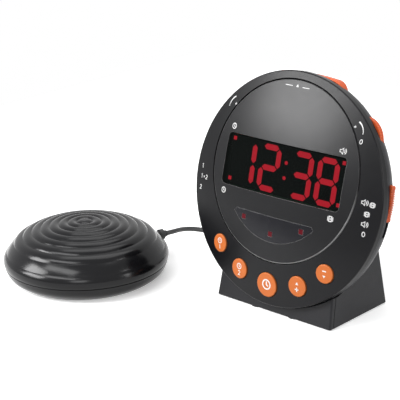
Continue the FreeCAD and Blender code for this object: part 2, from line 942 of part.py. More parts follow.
def make_housing():
    """The rear housing, a deep bowl with its bosses, shelf, slots, screw wells and grille."""
    outline = housing_profile()
    shoulder = fitting_round(outline, 1, shoulder_round)
    solid = bowl(outline, [0, shoulder, back_round, 0])
    inner_outline = inset(outline, housing_wall)
    inner = bowl(inner_outline, [0, shoulder - housing_wall, back_round - housing_wall, 0])
    hollow = solid.cut(inner)
    extras = [rod(boss_radius, x, y, -head_depth, -housing_front) for x, y in shell_bosses]
    for x, y in wheels:
        pot_rear = -wheel_front - wheel_thickness - run_gap - pot_depth
        extras.append(rod(pot_boss_radius, x, y, -head_depth, pot_rear - seat_gap))
    for x, y in speaker_bosses():
        extras.append(rod(speaker_boss_radius, x, y, -head_depth, -back_inner + speaker_boss_height))
    for x, y in mirrored(head_screw_x, -head_screw_drop):
        extras.append(rod(boss_radius, x, y, -head_depth, -back_inner + head_boss_height))
    shelf_top = snooze_board_level() - seat_gap
    extras.append(block(
        (-shelf_half, shelf_half),
        (shelf_top - shelf_thickness, shelf_top),
        (-shelf_depth, -snooze_front),
    ))
    rib_rear = -switch_front - switch_depth - seat_gap
    for side in (-1, 1):
        extras.append(block(
            (side * switch_inner, side * face_radius),
            (knob_middle() - switch_rib_half, knob_middle() + switch_rib_half),
            (rib_rear - switch_rib_thickness, rib_rear),
        ))
    shell = fused([hollow] + [extra.common(solid) for extra in extras])
    tools = grille_holes()
    for x, y in shell_bosses:
        tools.append(rod(hole_radius, x, y, -head_depth - overrun, 0))
        tools.append(rod(screw_head_radius + run_gap, x, y, -head_depth - overrun, -shell_screw_depth))
    for x, y in speaker_bosses():
        hole_end = -back_inner + speaker_boss_height + seat_gap + speaker_plate - speaker_screw_length
        tools.append(rod(screw_radius, x, y, hole_end, 0))
    for x, y in mirrored(head_screw_x, -head_screw_drop):
        tools.append(rod(screw_radius, x, y, -head_depth - overrun, -back_inner + head_boss_height))
    for x, y in wheels:
        tools.append(rod(
            wheel_radius + wheel_gap, x, y,
            -wheel_front - wheel_thickness - wheel_gap, -wheel_front + wheel_gap,
        ))
    tools.append(block(
        (-snooze_half - run_gap, snooze_half + run_gap),
        (face_radius - snooze_flange_drop - overrun, face_radius + overrun),
        (-snooze_front - snooze_width - run_gap, -snooze_front + run_gap),
    ))
    slot_length = knob_length + knob_travel + 2 * knob_slot_gap
    for side in (-1, 1):
        tools.append(knob_box(side, slot_length, knob_middle(), run_gap / 2))
    keep_head("rear_housing", cut_all(shell, tools))
    screws = [screw(x, y, -shell_screw_depth, shell_screw_length) for x, y in shell_bosses]
    keep_head("housing_screws", Part.makeCompound(screws))
    rear = -board_front - board_thickness
    board_screws = [screw(x, y, rear, screw_length) for x, y in board_bosses + panel_bosses]
    return board_screws


def make_speaker():
    """A small loudspeaker: pressed basket, paper cone and magnet."""
    face = -back_inner + speaker_boss_height + seat_gap
    plate = face + speaker_plate
    top = face + speaker_depth
    inner = speaker_radius - speaker_rim
    basket = turned([
        (speaker_radius, face),
        (speaker_radius, plate),
        (inner + basket_wall, plate),
        (magnet_radius, top),
        (0, top),
        (0, top - basket_wall),
        (magnet_radius - basket_wall, top - basket_wall),
        (inner, plate),
        (inner, face),
    ])
    basket.translate(Y_AXIS * speaker_lift)
    ears = [rod(speaker_ear_radius, x, y, face, plate) for x, y in speaker_bosses()]
    inside = rod(inner + basket_wall, 0, speaker_lift, face, plate)
    basket = fused([basket] + [ear.cut(inside) for ear in ears])
    holes = [rod(hole_radius, x, y, face - overrun, plate + overrun) for x, y in speaker_bosses()]
    keep_head("speaker_basket", cut_all(basket, holes))
    magnet = rod(magnet_radius, 0, speaker_lift, top + seat_gap / 2, top + magnet_height)
    keep_head("speaker_magnet", magnet)
    rim = inner - seat_gap
    neck = face + cone_depth
    cone = turned([
        (rim, face),
        (rim, face + cone_wall),
        (cone_neck, neck + cone_wall),
        (0, neck + cone_wall),
        (0, neck),
        (cone_neck, neck),
        (rim - 2 * cone_wall, face),
    ])
    coil_former = rod(cone_neck, 0, 0, neck + cone_wall / 2, top - basket_wall - seat_gap)
    cone = fused([cone, coil_former])
    cone.translate(Y_AXIS * speaker_lift)
    keep_head("speaker_cone", cone)
    screws = [screw(x, y, plate, speaker_screw_length, -1) for x, y in speaker_bosses()]
    keep_head("speaker_screws", Part.makeCompound(screws))


def snooze_board_level():
    """The height of the snooze switch's board, under the bar at the end of its travel."""
    flange_low = face_radius - snooze_flange_drop - snooze_flange_thickness
    return flange_low - snooze_travel - run_gap - plunger_height - tact_height - board_thickness


def make_snooze():
    """The snooze bar in the rim's top and the key switch under it."""
    front = -snooze_front
    rear = front - snooze_width
    flange_outer = face_radius - snooze_flange_drop
    flange_inner = flange_outer - snooze_flange_thickness
    outline = [
        (snooze_half, flange_inner / 2),
        (snooze_half, face_radius - snooze_end_drop),
        (0, face_radius - snooze_middle_drop),
        (-snooze_half, face_radius - snooze_end_drop),
        (-snooze_half, flange_inner / 2),
    ]
    radii = [0, snooze_end_round, snooze_crown, snooze_end_round, 0]
    bar = prism(outline, rear, front, radii)
    long_edges = [edge for edge in bar.Edges
                  if edge.BoundBox.ZLength < seat_gap and edge.BoundBox.YMax > flange_outer + seat_gap]
    bar = bar.makeFillet(rim_round, long_edges)
    bar = bar.cut(rod(flange_inner + seat_gap, 0, 0, rear - overrun, front + overrun))
    flange_front = -snooze_flange_front
    flange = rod(flange_outer, 0, 0, flange_front - snooze_flange_width, flange_front)
    flange = flange.cut(rod(flange_inner, 0, 0, -head_depth, 0))
    reach = snooze_half + snooze_flange_out
    flange = flange.common(block((-reach, reach), (0, face_radius), (-head_depth, 0)))
    keep_head("snooze_bar", fused([bar, flange]))
    level = snooze_board_level()
    half = snooze_board_width / 2
    middle = front - snooze_width / 2
    tact_half = tact_side / 2
    body_top = level + board_thickness + tact_height
    board = block((-half, half), (level, level + board_thickness), (rear - seat_gap, front))
    body = block((-tact_half, tact_half), (level + board_thickness, body_top),
                 (middle - tact_half, middle + tact_half))
    stub = rod_along(plunger_radius, vec(0, body_top, middle), Y_AXIS, plunger_height)
    keep_head("snooze_switch", fused([board, body, stub]))


def make_wheels():
    """Two knurled thumbwheels on the shafts of their potentiometers."""
    front = -wheel_front
    rear = front - wheel_thickness
    for (x, y), wheel_name, pot_name in zip(
        wheels, ("dimmer_wheel", "volume_wheel"), ("dimmer_pot", "volume_pot")
    ):
        wheel = rod(wheel_radius, x, y, rear, front)
        wheel = wheel.makeFillet(knurl_radius, edge_ring(wheel, wheel_radius, front, seat_gap)
                                 + edge_ring(wheel, wheel_radius, rear, seat_gap))
        notches = []
        for step in range(knurl_count):
            dx, dy = polar(wheel_radius + knurl_radius / 2, 360 * step / knurl_count)
            notches.append(rod(knurl_radius, x + dx, y + dy, rear - overrun, front + overrun))
        notches.append(rod(pot_shaft_radius + shaft_gap, x, y, rear - overrun, front + overrun))
        keep_head(wheel_name, cut_all(wheel, notches))
        body_front = rear - run_gap
        body = rod(pot_radius, x, y, body_front - pot_depth, body_front)
        shaft = rod(pot_shaft_radius, x, y, body_front - pot_depth / 2, front)
        keep_head(pot_name, fused([body, shaft]))


def knob_middle():
    """The height of the middle of a knob's travel."""
    return knob_centre - knob_travel / 2


def make_knobs():
    """Two ribbed slide knobs and the slide switches that carry them."""
    rear = -knob_front - knob_width
    middle = (-knob_front + rear) / 2
    names = (("mode_knob", "mode_switch", 1), ("alarm_select_knob", "alarm_select_switch", -1))
    for knob_name, switch_name, side in names:
        half = knob_length / 2
        low = switch_outer + run_gap
        rise = knob_crown - math.sqrt(knob_crown ** 2 - half ** 2)
        outline = [
            (side * low, knob_centre - half),
            (side * (knob_reach - rise), knob_centre - half),
            (side * knob_reach, knob_centre),
            (side * (knob_reach - rise), knob_centre + half),
            (side * low, knob_centre + half),
        ]
        corner_radii = [0, knob_edge, knob_crown / 2, knob_edge, 0]
        if side < 0:
            outline.reverse()
        knob = prism(outline, rear, -knob_front, corner_radii)
        grooves = []
        for step in range(knob_rib_count):
            place = knob_centre + (step - (knob_rib_count - 1) / 2) * knob_rib_pitch
            grooves.append(block(
                (side * (knob_reach - rise - knob_rib_depth), side * (face_radius + overrun)),
                (place - knob_rib_width / 2, place + knob_rib_width / 2),
                (rear - overrun, -knob_front + overrun),
            ))
        crown_only = knob_box(side, knob_length + overrun, knob_centre, overrun)
        grooves = [groove.common(crown_only) for groove in grooves]
        tongue = block(
            (side * (switch_outer - tongue_depth), side * (low + tongue_depth)),
            (knob_centre - tongue_length / 2, knob_centre + tongue_length / 2),
            (middle - tongue_width / 2, middle + tongue_width / 2),
        )
        keep_head(knob_name, fused([cut_all(knob, grooves), tongue]))
        body = block(
            (side * switch_inner, side * switch_outer),
            (knob_middle() - switch_half, knob_middle() + switch_half),
            (-switch_front - switch_depth, -switch_front),
        )
        track_half = (tongue_length + knob_travel) / 2 + run_gap
        track = block(
            (side * (switch_outer - tongue_depth - run_gap), side * (switch_outer + overrun)),
            (knob_middle() - track_half, knob_middle() + track_half),
            (middle - tongue_width / 2 - run_gap, middle + tongue_width / 2 + run_gap),
        )
        keep_head(switch_name, body.cut(track))


# Stand
def stand_corners(height, shrink):
    """The stand's outline at a height: it narrows as it rises, each side by its own lean."""
    share = height / lean_height
    x = stand_width / 2 - side_lean * share - shrink
    front = -stand_depth / 2 + front_lean * share + shrink
    rear = stand_depth / 2 - rear_lean * share - shrink
    return [vec(-x, front, height), vec(x, front, height), vec(x, rear, height), vec(-x, rear, height)]


def stand_solid(low, high, shrink):
    """The stand's closed form between two levels, with its upright edges rounded."""
    foot = stand_corners(low, shrink)
    crown = stand_corners(high, shrink)
    loops = [list(reversed(foot)), crown]
    for index in range(len(foot)):
        after = (index + 1) % len(foot)
        loops.append([foot[index], foot[after], crown[after], crown[index]])
    faces = [Part.Face(Part.makePolygon(loop + [loop[0]])) for loop in loops]
    solid = Part.makeSolid(Part.makeShell(faces))
    corner = stand_corner - shrink
    if corner < snug_gap:
        return solid
    rounded = [edge for edge in solid.Edges
               if edge.BoundBox.ZLength > (high - low) / 2 or edge.BoundBox.ZMin > high - seat_gap]
    return solid.makeFillet(corner, rounded)


def front_cut(depth):
    """Everything in front of a plane that lies a depth behind the stand's front face."""
    low = -overrun
    high = stand_height + overrun
    slope = front_lean / lean_height
    start = -stand_depth / 2 + depth
    points = [
        vec(-stand_width, start + slope * low - stand_depth, low),
        vec(-stand_width, start + slope * low, low),
        vec(-stand_width, start + slope * high, high),
        vec(-stand_width, start + slope * high - stand_depth, high),
    ]
    return Part.Face(Part.makePolygon(points + [points[0]])).extrude(X_AXIS * (2 * stand_width))


def rear_wall(height):
    """The outside of the stand's rear wall at a height."""
    return stand_depth / 2 - rear_lean * height / lean_height


def cell_places():
    level = stand_lift + door_thickness + run_gap + cell_radius
    return [(cell_centre_y - cell_pitch / 2, level), (cell_centre_y + cell_pitch / 2, level)]


def tray_box(growth, low, high):
    """The battery tray's space, grown by a wall."""
    half = cell_length / 2 + contact_thickness + snug_gap + run_gap + growth
    reach = cell_pitch / 2 + cell_radius + run_gap + growth
    return block((-half, half), (cell_centre_y - reach, cell_centre_y + reach), (low, high))


def make_stand():
    """The hollow stand: front panel, shell with its cradle web, and base plate."""
    base_top = stand_lift + base_thickness
    outer = stand_solid(stand_lift, stand_height, 0)
    inner = stand_solid(stand_lift - overrun, stand_height - stand_wall, stand_wall)
    walls = outer.cut(inner)
    head_room = placed_head(head_shape(run_gap))
    walls = walls.cut(head_room)
    front = walls.common(front_cut(front_reach))
    keep("stand_front", front)

    shell = walls.cut(front_cut(front_reach + stand_seam))
    web = block(
        (-stand_width, stand_width),
        (-web_low, -web_high),
        (-head_depth - run_gap - web_thickness, -head_depth - run_gap),
    )
    web = placed_head(web).common(stand_solid(stand_lift, stand_height, stand_wall / 2))
    posts = []
    for x in (-stand_screw_x, stand_screw_x):
        for y in (-stand_screw_front, stand_screw_rear):
            post = rod(boss_radius, x, y, base_top + seat_gap, base_top + stand_post_height)
            arm = block((min(x, x * 2), max(x, x * 2)), (y - stand_wall / 2, y + stand_wall / 2),
                        (base_top + seat_gap, base_top + stand_post_height))
            posts += [post, arm.common(stand_solid(stand_lift, stand_height, stand_wall / 2))]
    shell = fused([shell, web] + [post.cut(head_room) for post in posts])
    tools = []
    for x in (-stand_screw_x, stand_screw_x):
        for y in (-stand_screw_front, stand_screw_rear):
            tools.append(rod(screw_radius, x, y, 0, base_top + stand_post_height - screw_radius))
    for x, y in mirrored(head_screw_x, -head_screw_drop):
        tools.append(placed_head(rod(hole_radius, x, y, -head_depth - overrun, -head_depth + overrun)))
    for x in (-jack_x, jack_x):
        tools.append(rod_along(jack_nose_radius + snug_gap, vec(x, jack_body_rear, jack_height), Y_AXIS,
                               stand_depth))
    notch_top = stand_lift + door_thickness + run_gap
    notch = block((-door_half - run_gap, door_half + run_gap), (0, stand_depth), (0, notch_top))
    tools.append(notch)
    tongue_half = door_half + door_tongue + run_gap
    tongue_low = stand_lift + door_thickness - door_tongue_drop - door_tongue_thickness - run_gap
    tools.append(block((-tongue_half, tongue_half), (0, stand_depth), (tongue_low, notch_top)))
    keep("stand_shell", cut_all(shell, tools))

    plate = stand_solid(stand_lift, base_top, stand_wall + snug_gap)
    tray_top = cell_places()[0][1] + cell_radius + run_gap + tray_wall
    tray = tray_box(tray_wall, stand_lift + door_thickness, tray_top)
    jack_posts = [rod(jack_post_radius, x, jack_post_y, base_top - seat_gap, tray_top + seat_gap)
                  for x in (-jack_post_x, jack_post_x)]
    base = fused([plate, tray] + jack_posts)
    mouth = block((-stand_width, stand_width), (door_front - run_gap, stand_depth), (0, base_top))
    tools = [tray_box(0, base_top, tray_top - tray_wall)]
    tools.append(tray_box(0, 0, base_top).common(mouth))
    tools.append(block((-door_half - run_gap, door_half + run_gap), (door_front - run_gap, stand_depth),
                       (0, notch_top)))
    tools.append(block((-tongue_half, tongue_half), (door_front - run_gap, stand_depth),
                       (tongue_low, notch_top)))
    for x in (-stand_screw_x, stand_screw_x):
        for y in (-stand_screw_front, stand_screw_rear):
            tools.append(rod(hole_radius, x, y, 0, stand_height))
            tools.append(rod(screw_head_radius + run_gap, x, y, 0, stand_lift + screw_head_height + seat_gap))
    for x, y in foot_places():
        tools.append(rod(foot_stud_radius, x, y, 0, stand_height))
        tools.append(rod(foot_radius + seat_gap, x, y, 0, stand_lift + foot_sink))
    for x in (-jack_post_x, jack_post_x):
        tools.append(rod(screw_radius, x, jack_post_y, base_top, stand_height))
    keep("stand_base", cut_all(base, tools))

    feet = []
    inside_plate = stand_solid(stand_lift / 2, base_top, stand_wall + snug_gap + seat_gap)
    for x, y in foot_places():
        pad = rod(foot_radius, x, y, 0, stand_lift)
        sunk = rod(foot_radius, x, y, stand_lift / 2, stand_lift + foot_sink - seat_gap / 2)
        stud = rod(foot_stud_radius, x, y, stand_lift / 2, base_top)
        feet.append(fused([pad, sunk.common(inside_plate), stud]))
    keep("stand_feet", Part.makeCompound(feet))
    screws = []
    for x in (-stand_screw_x, stand_screw_x):
        for y in (-stand_screw_front, stand_screw_rear):
            screws.append(screw(x, y, stand_lift + screw_head_height + seat_gap, screw_length))
    keep("stand_screws", Part.makeCompound(screws))
    seat = -head_depth - run_gap - web_thickness
    head_screws = [screw(x, y, seat, screw_length + web_thickness)
                   for x, y in mirrored(head_screw_x, -head_screw_drop)]
    keep_head("head_screws", Part.makeCompound(head_screws))
    return tray_top


def foot_places():
    return mirrored(front_foot_x, -front_foot_y) + mirrored(rear_foot_x, rear_foot_y)


def make_battery():
    """Two backup cells, their contact plates and the sliding door under them."""
    cells = []
    contacts = []
    half = cell_length / 2
    for index, (y, z) in enumerate(cell_places()):
        way = -1 if index else 1
        start = vec(-half * way, y, z)
        can = rod_along(cell_radius, start, X_AXIS * way, cell_length - cell_nub_length)
        nub_start = start + X_AXIS * (way * (cell_length - cell_nub_length))
        nub = rod_along(cell_nub_radius, nub_start, X_AXIS * way, cell_nub_length)
        cells.append(fused([can, nub]))
        for side in (-1, 1):
            inside = side * (half + snug_gap)
            contacts.append(block(
                (inside, inside + side * contact_thickness),
                (y - contact_side / 2, y + contact_side / 2),
                (z - contact_side / 2, z + contact_side / 2),
            ))
    keep("backup_cells", Part.makeCompound(cells))
    keep("battery_contacts", Part.makeCompound(contacts))
    top = stand_lift + door_thickness
    rear = rear_wall(stand_lift + door_thickness)
    door = block((-door_half, door_half), (door_front, rear), (stand_lift, top))
    tongue_high = top - door_tongue_drop
    tongue = block(
        (-door_half - door_tongue, door_half + door_tongue),
        (door_front, rear - stand_wall - run_gap),
        (tongue_high - door_tongue_thickness, tongue_high),
    )
    grips = []
    for step in range(door_grip_count):
        y = rear - stand_wall - (step + 1) * door_grip_pitch
        grips.append(block(
            (-door_half / 2, door_half / 2),
            (y, y + door_grip_width),
            (0, stand_lift + door_grip_depth),
        ))
    keep("battery_door", cut_all(fused([door, tongue]), grips))


def make_jacks(tray_top, board_screws):
    """The jack board with the power inlet and the shaker jack."""
    low = tray_top + 2 * seat_gap
    board_top_level = low + board_thickness
    board = block(
        (-jack_board_half, jack_board_half),
        (jack_board_front, jack_board_front + jack_board_depth),
        (low, board_top_level),
    )
    holes = [rod(hole_radius, x, jack_post_y, low - overrun, low + overrun)
             for x in (-jack_post_x, jack_post_x)]
    keep("jack_board", cut_all(board, holes))
    for name, x, bore in (("shaker_jack", -jack_x, shaker_bore), ("power_jack", jack_x, power_bore)):
        half = jack_body_width / 2
        body = block(
            (x - half, x + half),
            (jack_body_front, jack_body_rear),
            (board_top_level + seat_gap / 2, jack_height + jack_body_height / 2),
        )
        axis_start = vec(x, jack_body_rear, jack_height)
        nose_length = rear_wall(jack_height) - jack_body_rear + jack_rim - snug_gap
        nose = rod_along(jack_nose_radius, axis_start, Y_AXIS, nose_length)
        hole = rod_along(bore, vec(x, jack_body_front + housing_wall, jack_height), Y_AXIS, stand_depth)
        jack = fused([body, nose]).cut(hole)
        if name == "power_jack":
            pin_start = vec(x, jack_body_front + seat_gap, jack_height)
            pin = rod_along(power_pin_radius, pin_start, Y_AXIS, jack_body_rear - jack_body_front)
            jack = fused([jack, pin])
        keep(name, jack)
    for x in (-jack_post_x, jack_post_x):
        board_screws.append(screw(x, jack_post_y, board_top_level, screw_length, -1))


# Shaker pad
def pad_curve(radius, wall=0.0):
    """The height of the pad's smooth crown at a radius, a power curve from rim to centre."""
    outer = pad_radius - wall
    rise = pad_height - wall - pad_low
    share = max(0.0, 1 - (radius / outer) ** pad_flatness)
    return pad_low + rise * share ** (1 / pad_shoulder)


def pad_upper_profile():
    """Arcs from the centre to the seam: round ripples, then the smooth shoulder."""
    edges = []
    start = 0.0
    end = ripple_first
    for step in range(ripple_count):
        middle = (start + end) / 2
        first = vec(start, 0, pad_curve(start) + (ripple_height if step == 0 else 0))
        peak = vec(middle, 0, pad_curve(middle) + ripple_height)
        edges.append(arc(first, peak, vec(end, 0, pad_curve(end))))
        start = end
        end = end + ripple_pitch
    knee = (start + pad_shoulder_reach) / 2
    edges.append(arc(vec(start, 0, pad_curve(start)), vec(knee, 0, pad_curve(knee)),
                     vec(pad_shoulder_reach, 0, pad_curve(pad_shoulder_reach))))
    edges.append(arc(
        vec(pad_shoulder_reach, 0, pad_curve(pad_shoulder_reach)),
        vec(pad_radius, 0, pad_widest),
        vec(pad_rim_radius, 0, pad_seam + pad_seam_gap),
    ))
    return edges


def pad_inner_profile():
    """The same crown one wall further in, from the seam back to the centre."""
    outer = pad_radius - pad_wall
    stops = [outer * share for share in inner_stops]
    heights = [pad_curve(stop, pad_wall) for stop in stops]
    heights[0] = pad_seam + pad_seam_gap
    points = [vec(stop, 0, height) for stop, height in zip(stops, heights)]
    return [arc(points[0], points[1], points[2]), arc(points[2], points[3], points[4]),
            arc(points[4], points[5], points[6])]


def pad_foot_profile():
    return [
        (0, pad_lift),
        (pad_base_radius, pad_lift),
        (pad_side_radius, pad_side_height),
        (pad_rim_radius, pad_seam),
    ]


def ring_places(circle, count, start):
    return [polar(circle, start + 360 * step / count) for step in range(count)]


def exit_frame():
    """Where the lead leaves the pad and the way it points, in the pad's own frame."""
    x, y = polar(1, exit_angle)
    return vec(x, y, 0)


def make_pad():
    """Upper and lower shells of the pad, its feet and its screws."""
    upper = pad_upper_profile()
    inner = pad_inner_profile()
    upper_end = vec(pad_rim_radius, 0, pad_seam + pad_seam_gap)
    inner_start = vec(pad_radius - pad_wall, 0, pad_seam + pad_seam_gap)
    top = pad_height + ripple_height
    closing = [Part.makeLine(upper_end, inner_start)]
    axis = Part.makeLine(vec(0, 0, pad_height - pad_wall), vec(0, 0, top))
    wire = Part.Wire(upper + closing + inner + [axis])
    shell = Part.Face(wire).revolve(vec(0, 0), Z_AXIS, 360)
    crown = Part.Face(Part.Wire(upper + [
        Part.makeLine(upper_end, vec(0, 0, upper_end.z)),
        Part.makeLine(vec(0, 0, upper_end.z), vec(0, 0, top)),
    ])).revolve(vec(0, 0), Z_AXIS, 360)
    room = crown.cut(shell)
    floor = pad_lift + pad_wall
    screw_places = ring_places(pad_screw_circle, pad_screw_count, pad_screw_angle)
    posts = []
    for x, y in screw_places:
        post = rod(pad_post_radius, x, y, floor + seat_gap, pad_height)
        low_part = post.common(block((-pad_radius, pad_radius), (-pad_radius, pad_radius),
                                     (floor, upper_end.z)))
        posts += [low_part, post.common(crown)]
    shell = fused([shell] + posts)
    way = exit_frame()
    tools = [rod_along(grommet_neck_radius + seat_gap, way * grommet_inside + Z_AXIS * exit_height, way,
                       pad_radius)]
    tools += [rod(screw_radius, x, y, 0, floor + screw_length) for x, y in screw_places]
    shell = cut_all(shell, tools)

    outline = pad_foot_profile()
    corners = [vec(radius, 0, height) for radius, height in outline]
    outer_edges = tangent_edges(corners, [0, pad_base_round, pad_side_round, 0], False)
    moved = inset(outline, -pad_wall)
    side, rim = moved[2], moved[3]
    rim_share = (pad_seam - side[1]) / (rim[1] - side[1])
    rim_radius = side[0] + (rim[0] - side[0]) * rim_share
    moved = [(0, moved[0][1]), moved[1], side, (rim_radius, pad_seam)]
    inner_corners = [vec(radius, 0, height) for radius, height in reversed(moved)]
    inner_radii = [0, pad_side_round - pad_wall, pad_base_round - pad_wall, 0]
    inner_edges = tangent_edges(inner_corners, inner_radii, False)
    wire = Part.Wire(outer_edges + [Part.makeLine(corners[-1], inner_corners[0])] + inner_edges
                     + [Part.makeLine(inner_corners[-1], corners[0])])
    lower = Part.Face(wire).revolve(vec(0, 0), Z_AXIS, 360)
    saddle_x = motor_length / 2 - saddle_inset
    cradle = []
    for x in (-saddle_x, saddle_x):
        cradle.append(block((x - saddle_width / 2, x + saddle_width / 2), (-saddle_half, saddle_half),
                            (floor - seat_gap, motor_axis)))
    strap_reach = motor_radius + strap_thickness + strap_foot / 2
    for y in (-strap_reach, strap_reach):
        cradle.append(rod(boss_radius, 0, y, floor - seat_gap, floor + strap_boss_height))
    motor_room = rod_along(motor_radius + seat_gap, vec(-motor_length, 0, motor_axis), X_AXIS, 2 * motor_length)
    lower = fused([lower] + [piece.cut(motor_room) for piece in cradle])
    tools = []
    for x, y in screw_places:
        tools.append(rod(hole_radius, x, y, 0, pad_height))
        tools.append(rod(screw_head_radius + run_gap, x, y, 0, pad_lift + screw_head_height + seat_gap))
    foot_places_pad = ring_places(pad_foot_circle, pad_foot_count, 0)
    for x, y in foot_places_pad:
        tools.append(rod(pad_foot_radius + seat_gap, x, y, 0, pad_lift + pad_foot_sink))
    for y in (-strap_reach, strap_reach):
        tools.append(rod(screw_radius, 0, y, floor, floor + strap_boss_height + overrun))
    lower = cut_all(lower, tools)

    feet = [rod(pad_foot_radius, x, y, 0, pad_lift + pad_foot_sink - seat_gap / 2)
            for x, y in foot_places_pad]
    screws = [screw(x, y, pad_lift + screw_head_height + seat_gap, screw_length) for x, y in screw_places]
    strap_top = floor + strap_boss_height + strap_thickness + seat_gap
    screws += [screw(0, y, strap_top, strap_boss_height + strap_thickness, -1)
               for y in (-strap_reach, strap_reach)]
    place = vec(pad_x, pad_y)
    for name, shape in (("pad_upper_shell", shell), ("pad_lower_shell", lower),
                        ("pad_feet", Part.makeCompound(feet)), ("pad_screws", Part.makeCompound(screws))):
        moved_shape = shape.copy()
        moved_shape.translate(place)
        keep(name, moved_shape)


def make_motor():
    """The vibration motor lying along X: case, strap, shaft and hanging eccentric weight."""
    floor = pad_lift + pad_wall
    half = motor_length / 2
    start = vec(-half, 0, motor_axis)
    case = rod_along(motor_radius, start, X_AXIS, motor_length)
    neck = rod_along(motor_neck_radius, vec(half, 0, motor_axis), X_AXIS, motor_neck_length)
    bore_start = vec(half + motor_neck_length - rotor_inside, 0, motor_axis)
    bore = rod_along(rotor_radius + rotor_gap, bore_start, X_AXIS, rotor_inside + overrun)
    case = fused([case, neck]).cut(bore)
    strap_outer = motor_radius + seat_gap + strap_thickness
    strap_low = floor + strap_boss_height + seat_gap
    width = strap_width / 2
    body = fused([
        rod_along(strap_outer, vec(-width, 0, motor_axis), X_AXIS, strap_width),
        block((-width, width), (-strap_outer, strap_outer), (strap_low, motor_axis)),
    ])
    hollow = fused([
        rod_along(motor_radius + seat_gap, vec(-strap_width, 0, motor_axis), X_AXIS, 2 * strap_width),
        block((-strap_width, strap_width), (-motor_radius - seat_gap, motor_radius + seat_gap),
              (0, motor_axis)),
    ])
    body = body.common(block((-width, width), (-strap_outer, strap_outer), (strap_low, pad_height)))
    foot_reach = strap_outer + strap_foot
    feet = block((-width, width), (-foot_reach, foot_reach), (strap_low, strap_low + strap_thickness))
    strap = fused([body, feet]).cut(hollow)
    strap_reach = motor_radius + strap_thickness + strap_foot / 2
    strap = cut_all(strap, [rod(hole_radius, 0, y, 0, motor_axis) for y in (-strap_reach, strap_reach)])
    shaft_start = vec(half + motor_neck_length - rotor_inside + seat_gap, 0, motor_axis)
    shaft = rod_along(rotor_radius, shaft_start, X_AXIS, rotor_inside + rotor_reach)
    weight_x = half + motor_neck_length + weight_start
    disc = rod_along(weight_radius, vec(weight_x, 0, motor_axis), X_AXIS, weight_thickness)
    lower_half = block((weight_x, weight_x + weight_thickness), (-weight_radius, weight_radius),
                       (0, motor_axis))
    hub = rod_along(weight_hub, vec(weight_x, 0, motor_axis), X_AXIS, weight_thickness)
    weight = fused([disc.common(lower_half), hub])
    weight = weight.cut(rod_along(rotor_radius, vec(0, 0, motor_axis), X_AXIS, pad_radius))
    place = vec(pad_x, pad_y)
    for name, shape in (("motor_case", case), ("motor_strap", strap), ("motor_shaft", shaft),
                        ("eccentric_weight", weight)):
        moved_shape = shape.copy()
        moved_shape.translate(place)
        keep(name, moved_shape)


# Lead
arc_share = 0.45
quarter_turn = 0.25


def lead_radii(points):
    """Each arc is as large as its two runs allow."""
    radii = [0]
    for before, point, after in zip(points, points[1:], points[2:]):
        first = point - before
        second = after - point
        shorter = min(first.Length, second.Length)
        half_turn = first.getAngle(second) / 2
        radii.append(arc_share * shorter / math.tan(half_turn))
    radii.append(0)
    return radii


def tube_along(edges, start, direction):
    """A round tube of the lead's diameter along joined edges."""
    path = Part.Wire(edges)
    ring = Part.Wire([Part.makeCircle(lead_radius, start, direction)])
    return path, path.makePipeShell([ring], True, False)


def make_tube(name, route):
    points = [vec(*point) for point in route]
    radii = lead_radii(points)
    edges = tangent_edges(points, radii, False)
    path, tube = tube_along(edges, points[0], points[1] - points[0])
    expected = math.pi * lead_radius ** 2 * path.Length
    print(name, "radii", [round(radius, 1) for radius in radii[1:-1]], "length", round(path.Length, 1),
          "volume share", round(tube.Volume / expected, 4))
    keep(name, tube)
    return path.Length


def coil_point(turns):
    """A point of the winding: it spirals in and out at a steady rate and climbs at each reversal."""
    layer = min(turns // coil_layer_turns, coil_layers - 1)
    within = turns - layer * coil_layer_turns
    inward = layer % 2 == 0
    travelled = within if inward else coil_layer_turns - within
    outer = coil_middle_radius + coil_pitch * coil_layer_turns / 2
    radius = outer - coil_pitch * travelled
    level = coil_base()
    for reversal in range(1, coil_layers):
        passed = (turns - reversal * coil_layer_turns) * 2 + quarter_turn * 2
        rise = min(max(passed, 0), 1)
        level = level + coil_pitch * rise
    angle = math.pi - 2 * math.pi * turns
    return vec(coil_x + radius * math.cos(angle), coil_y + radius * math.sin(angle), level)


def coil_base():
    return tie_thickness + run_gap + lead_radius


def coil_tangent(turns, total):
    """The winding's direction, from two close points either side, along Y at its ends."""
    step = quarter_turn / 4
    if turns <= 0:
        return Y_AXIS
    if turns >= total:
        return Y_AXIS * -1
    return unit(coil_point(turns + step) - coil_point(turns - step))


def arc_between(start, way, end):
    """The arc that leaves the start along a direction and reaches the end."""
    chord = end - start
    middle = (start + end) * 0.5
    across = chord - way * chord.dot(way)
    if across.Length < seat_gap / 1000:
        return Part.makeLine(start, end)
    half_angle = way.getAngle(chord)
    side = unit(way * chord.Length - chord * (way.dot(chord) / chord.Length))
    return arc(start, middle + side * (chord.Length / 2 * math.tan(half_angle / 2)), end)


def biarc(start, start_way, end, end_way):
    """Two arcs that meet smoothly between two points with given directions."""
    chord = end - start
    ways = start_way + end_way
    spread = 2 * (1 - start_way.dot(end_way))
    along = chord.dot(ways)
    reach = (math.sqrt(along ** 2 + spread * chord.dot(chord)) - along) / spread
    first_knee = start + start_way * reach
    second_knee = end - end_way * reach
    joint = (first_knee + second_knee) * 0.5
    first = arc_between(start, start_way, joint)
    back = arc_between(end, end_way * -1, joint)
    middle = back.valueAt((back.FirstParameter + back.LastParameter) / 2)
    return [first, arc(joint, middle, end)]


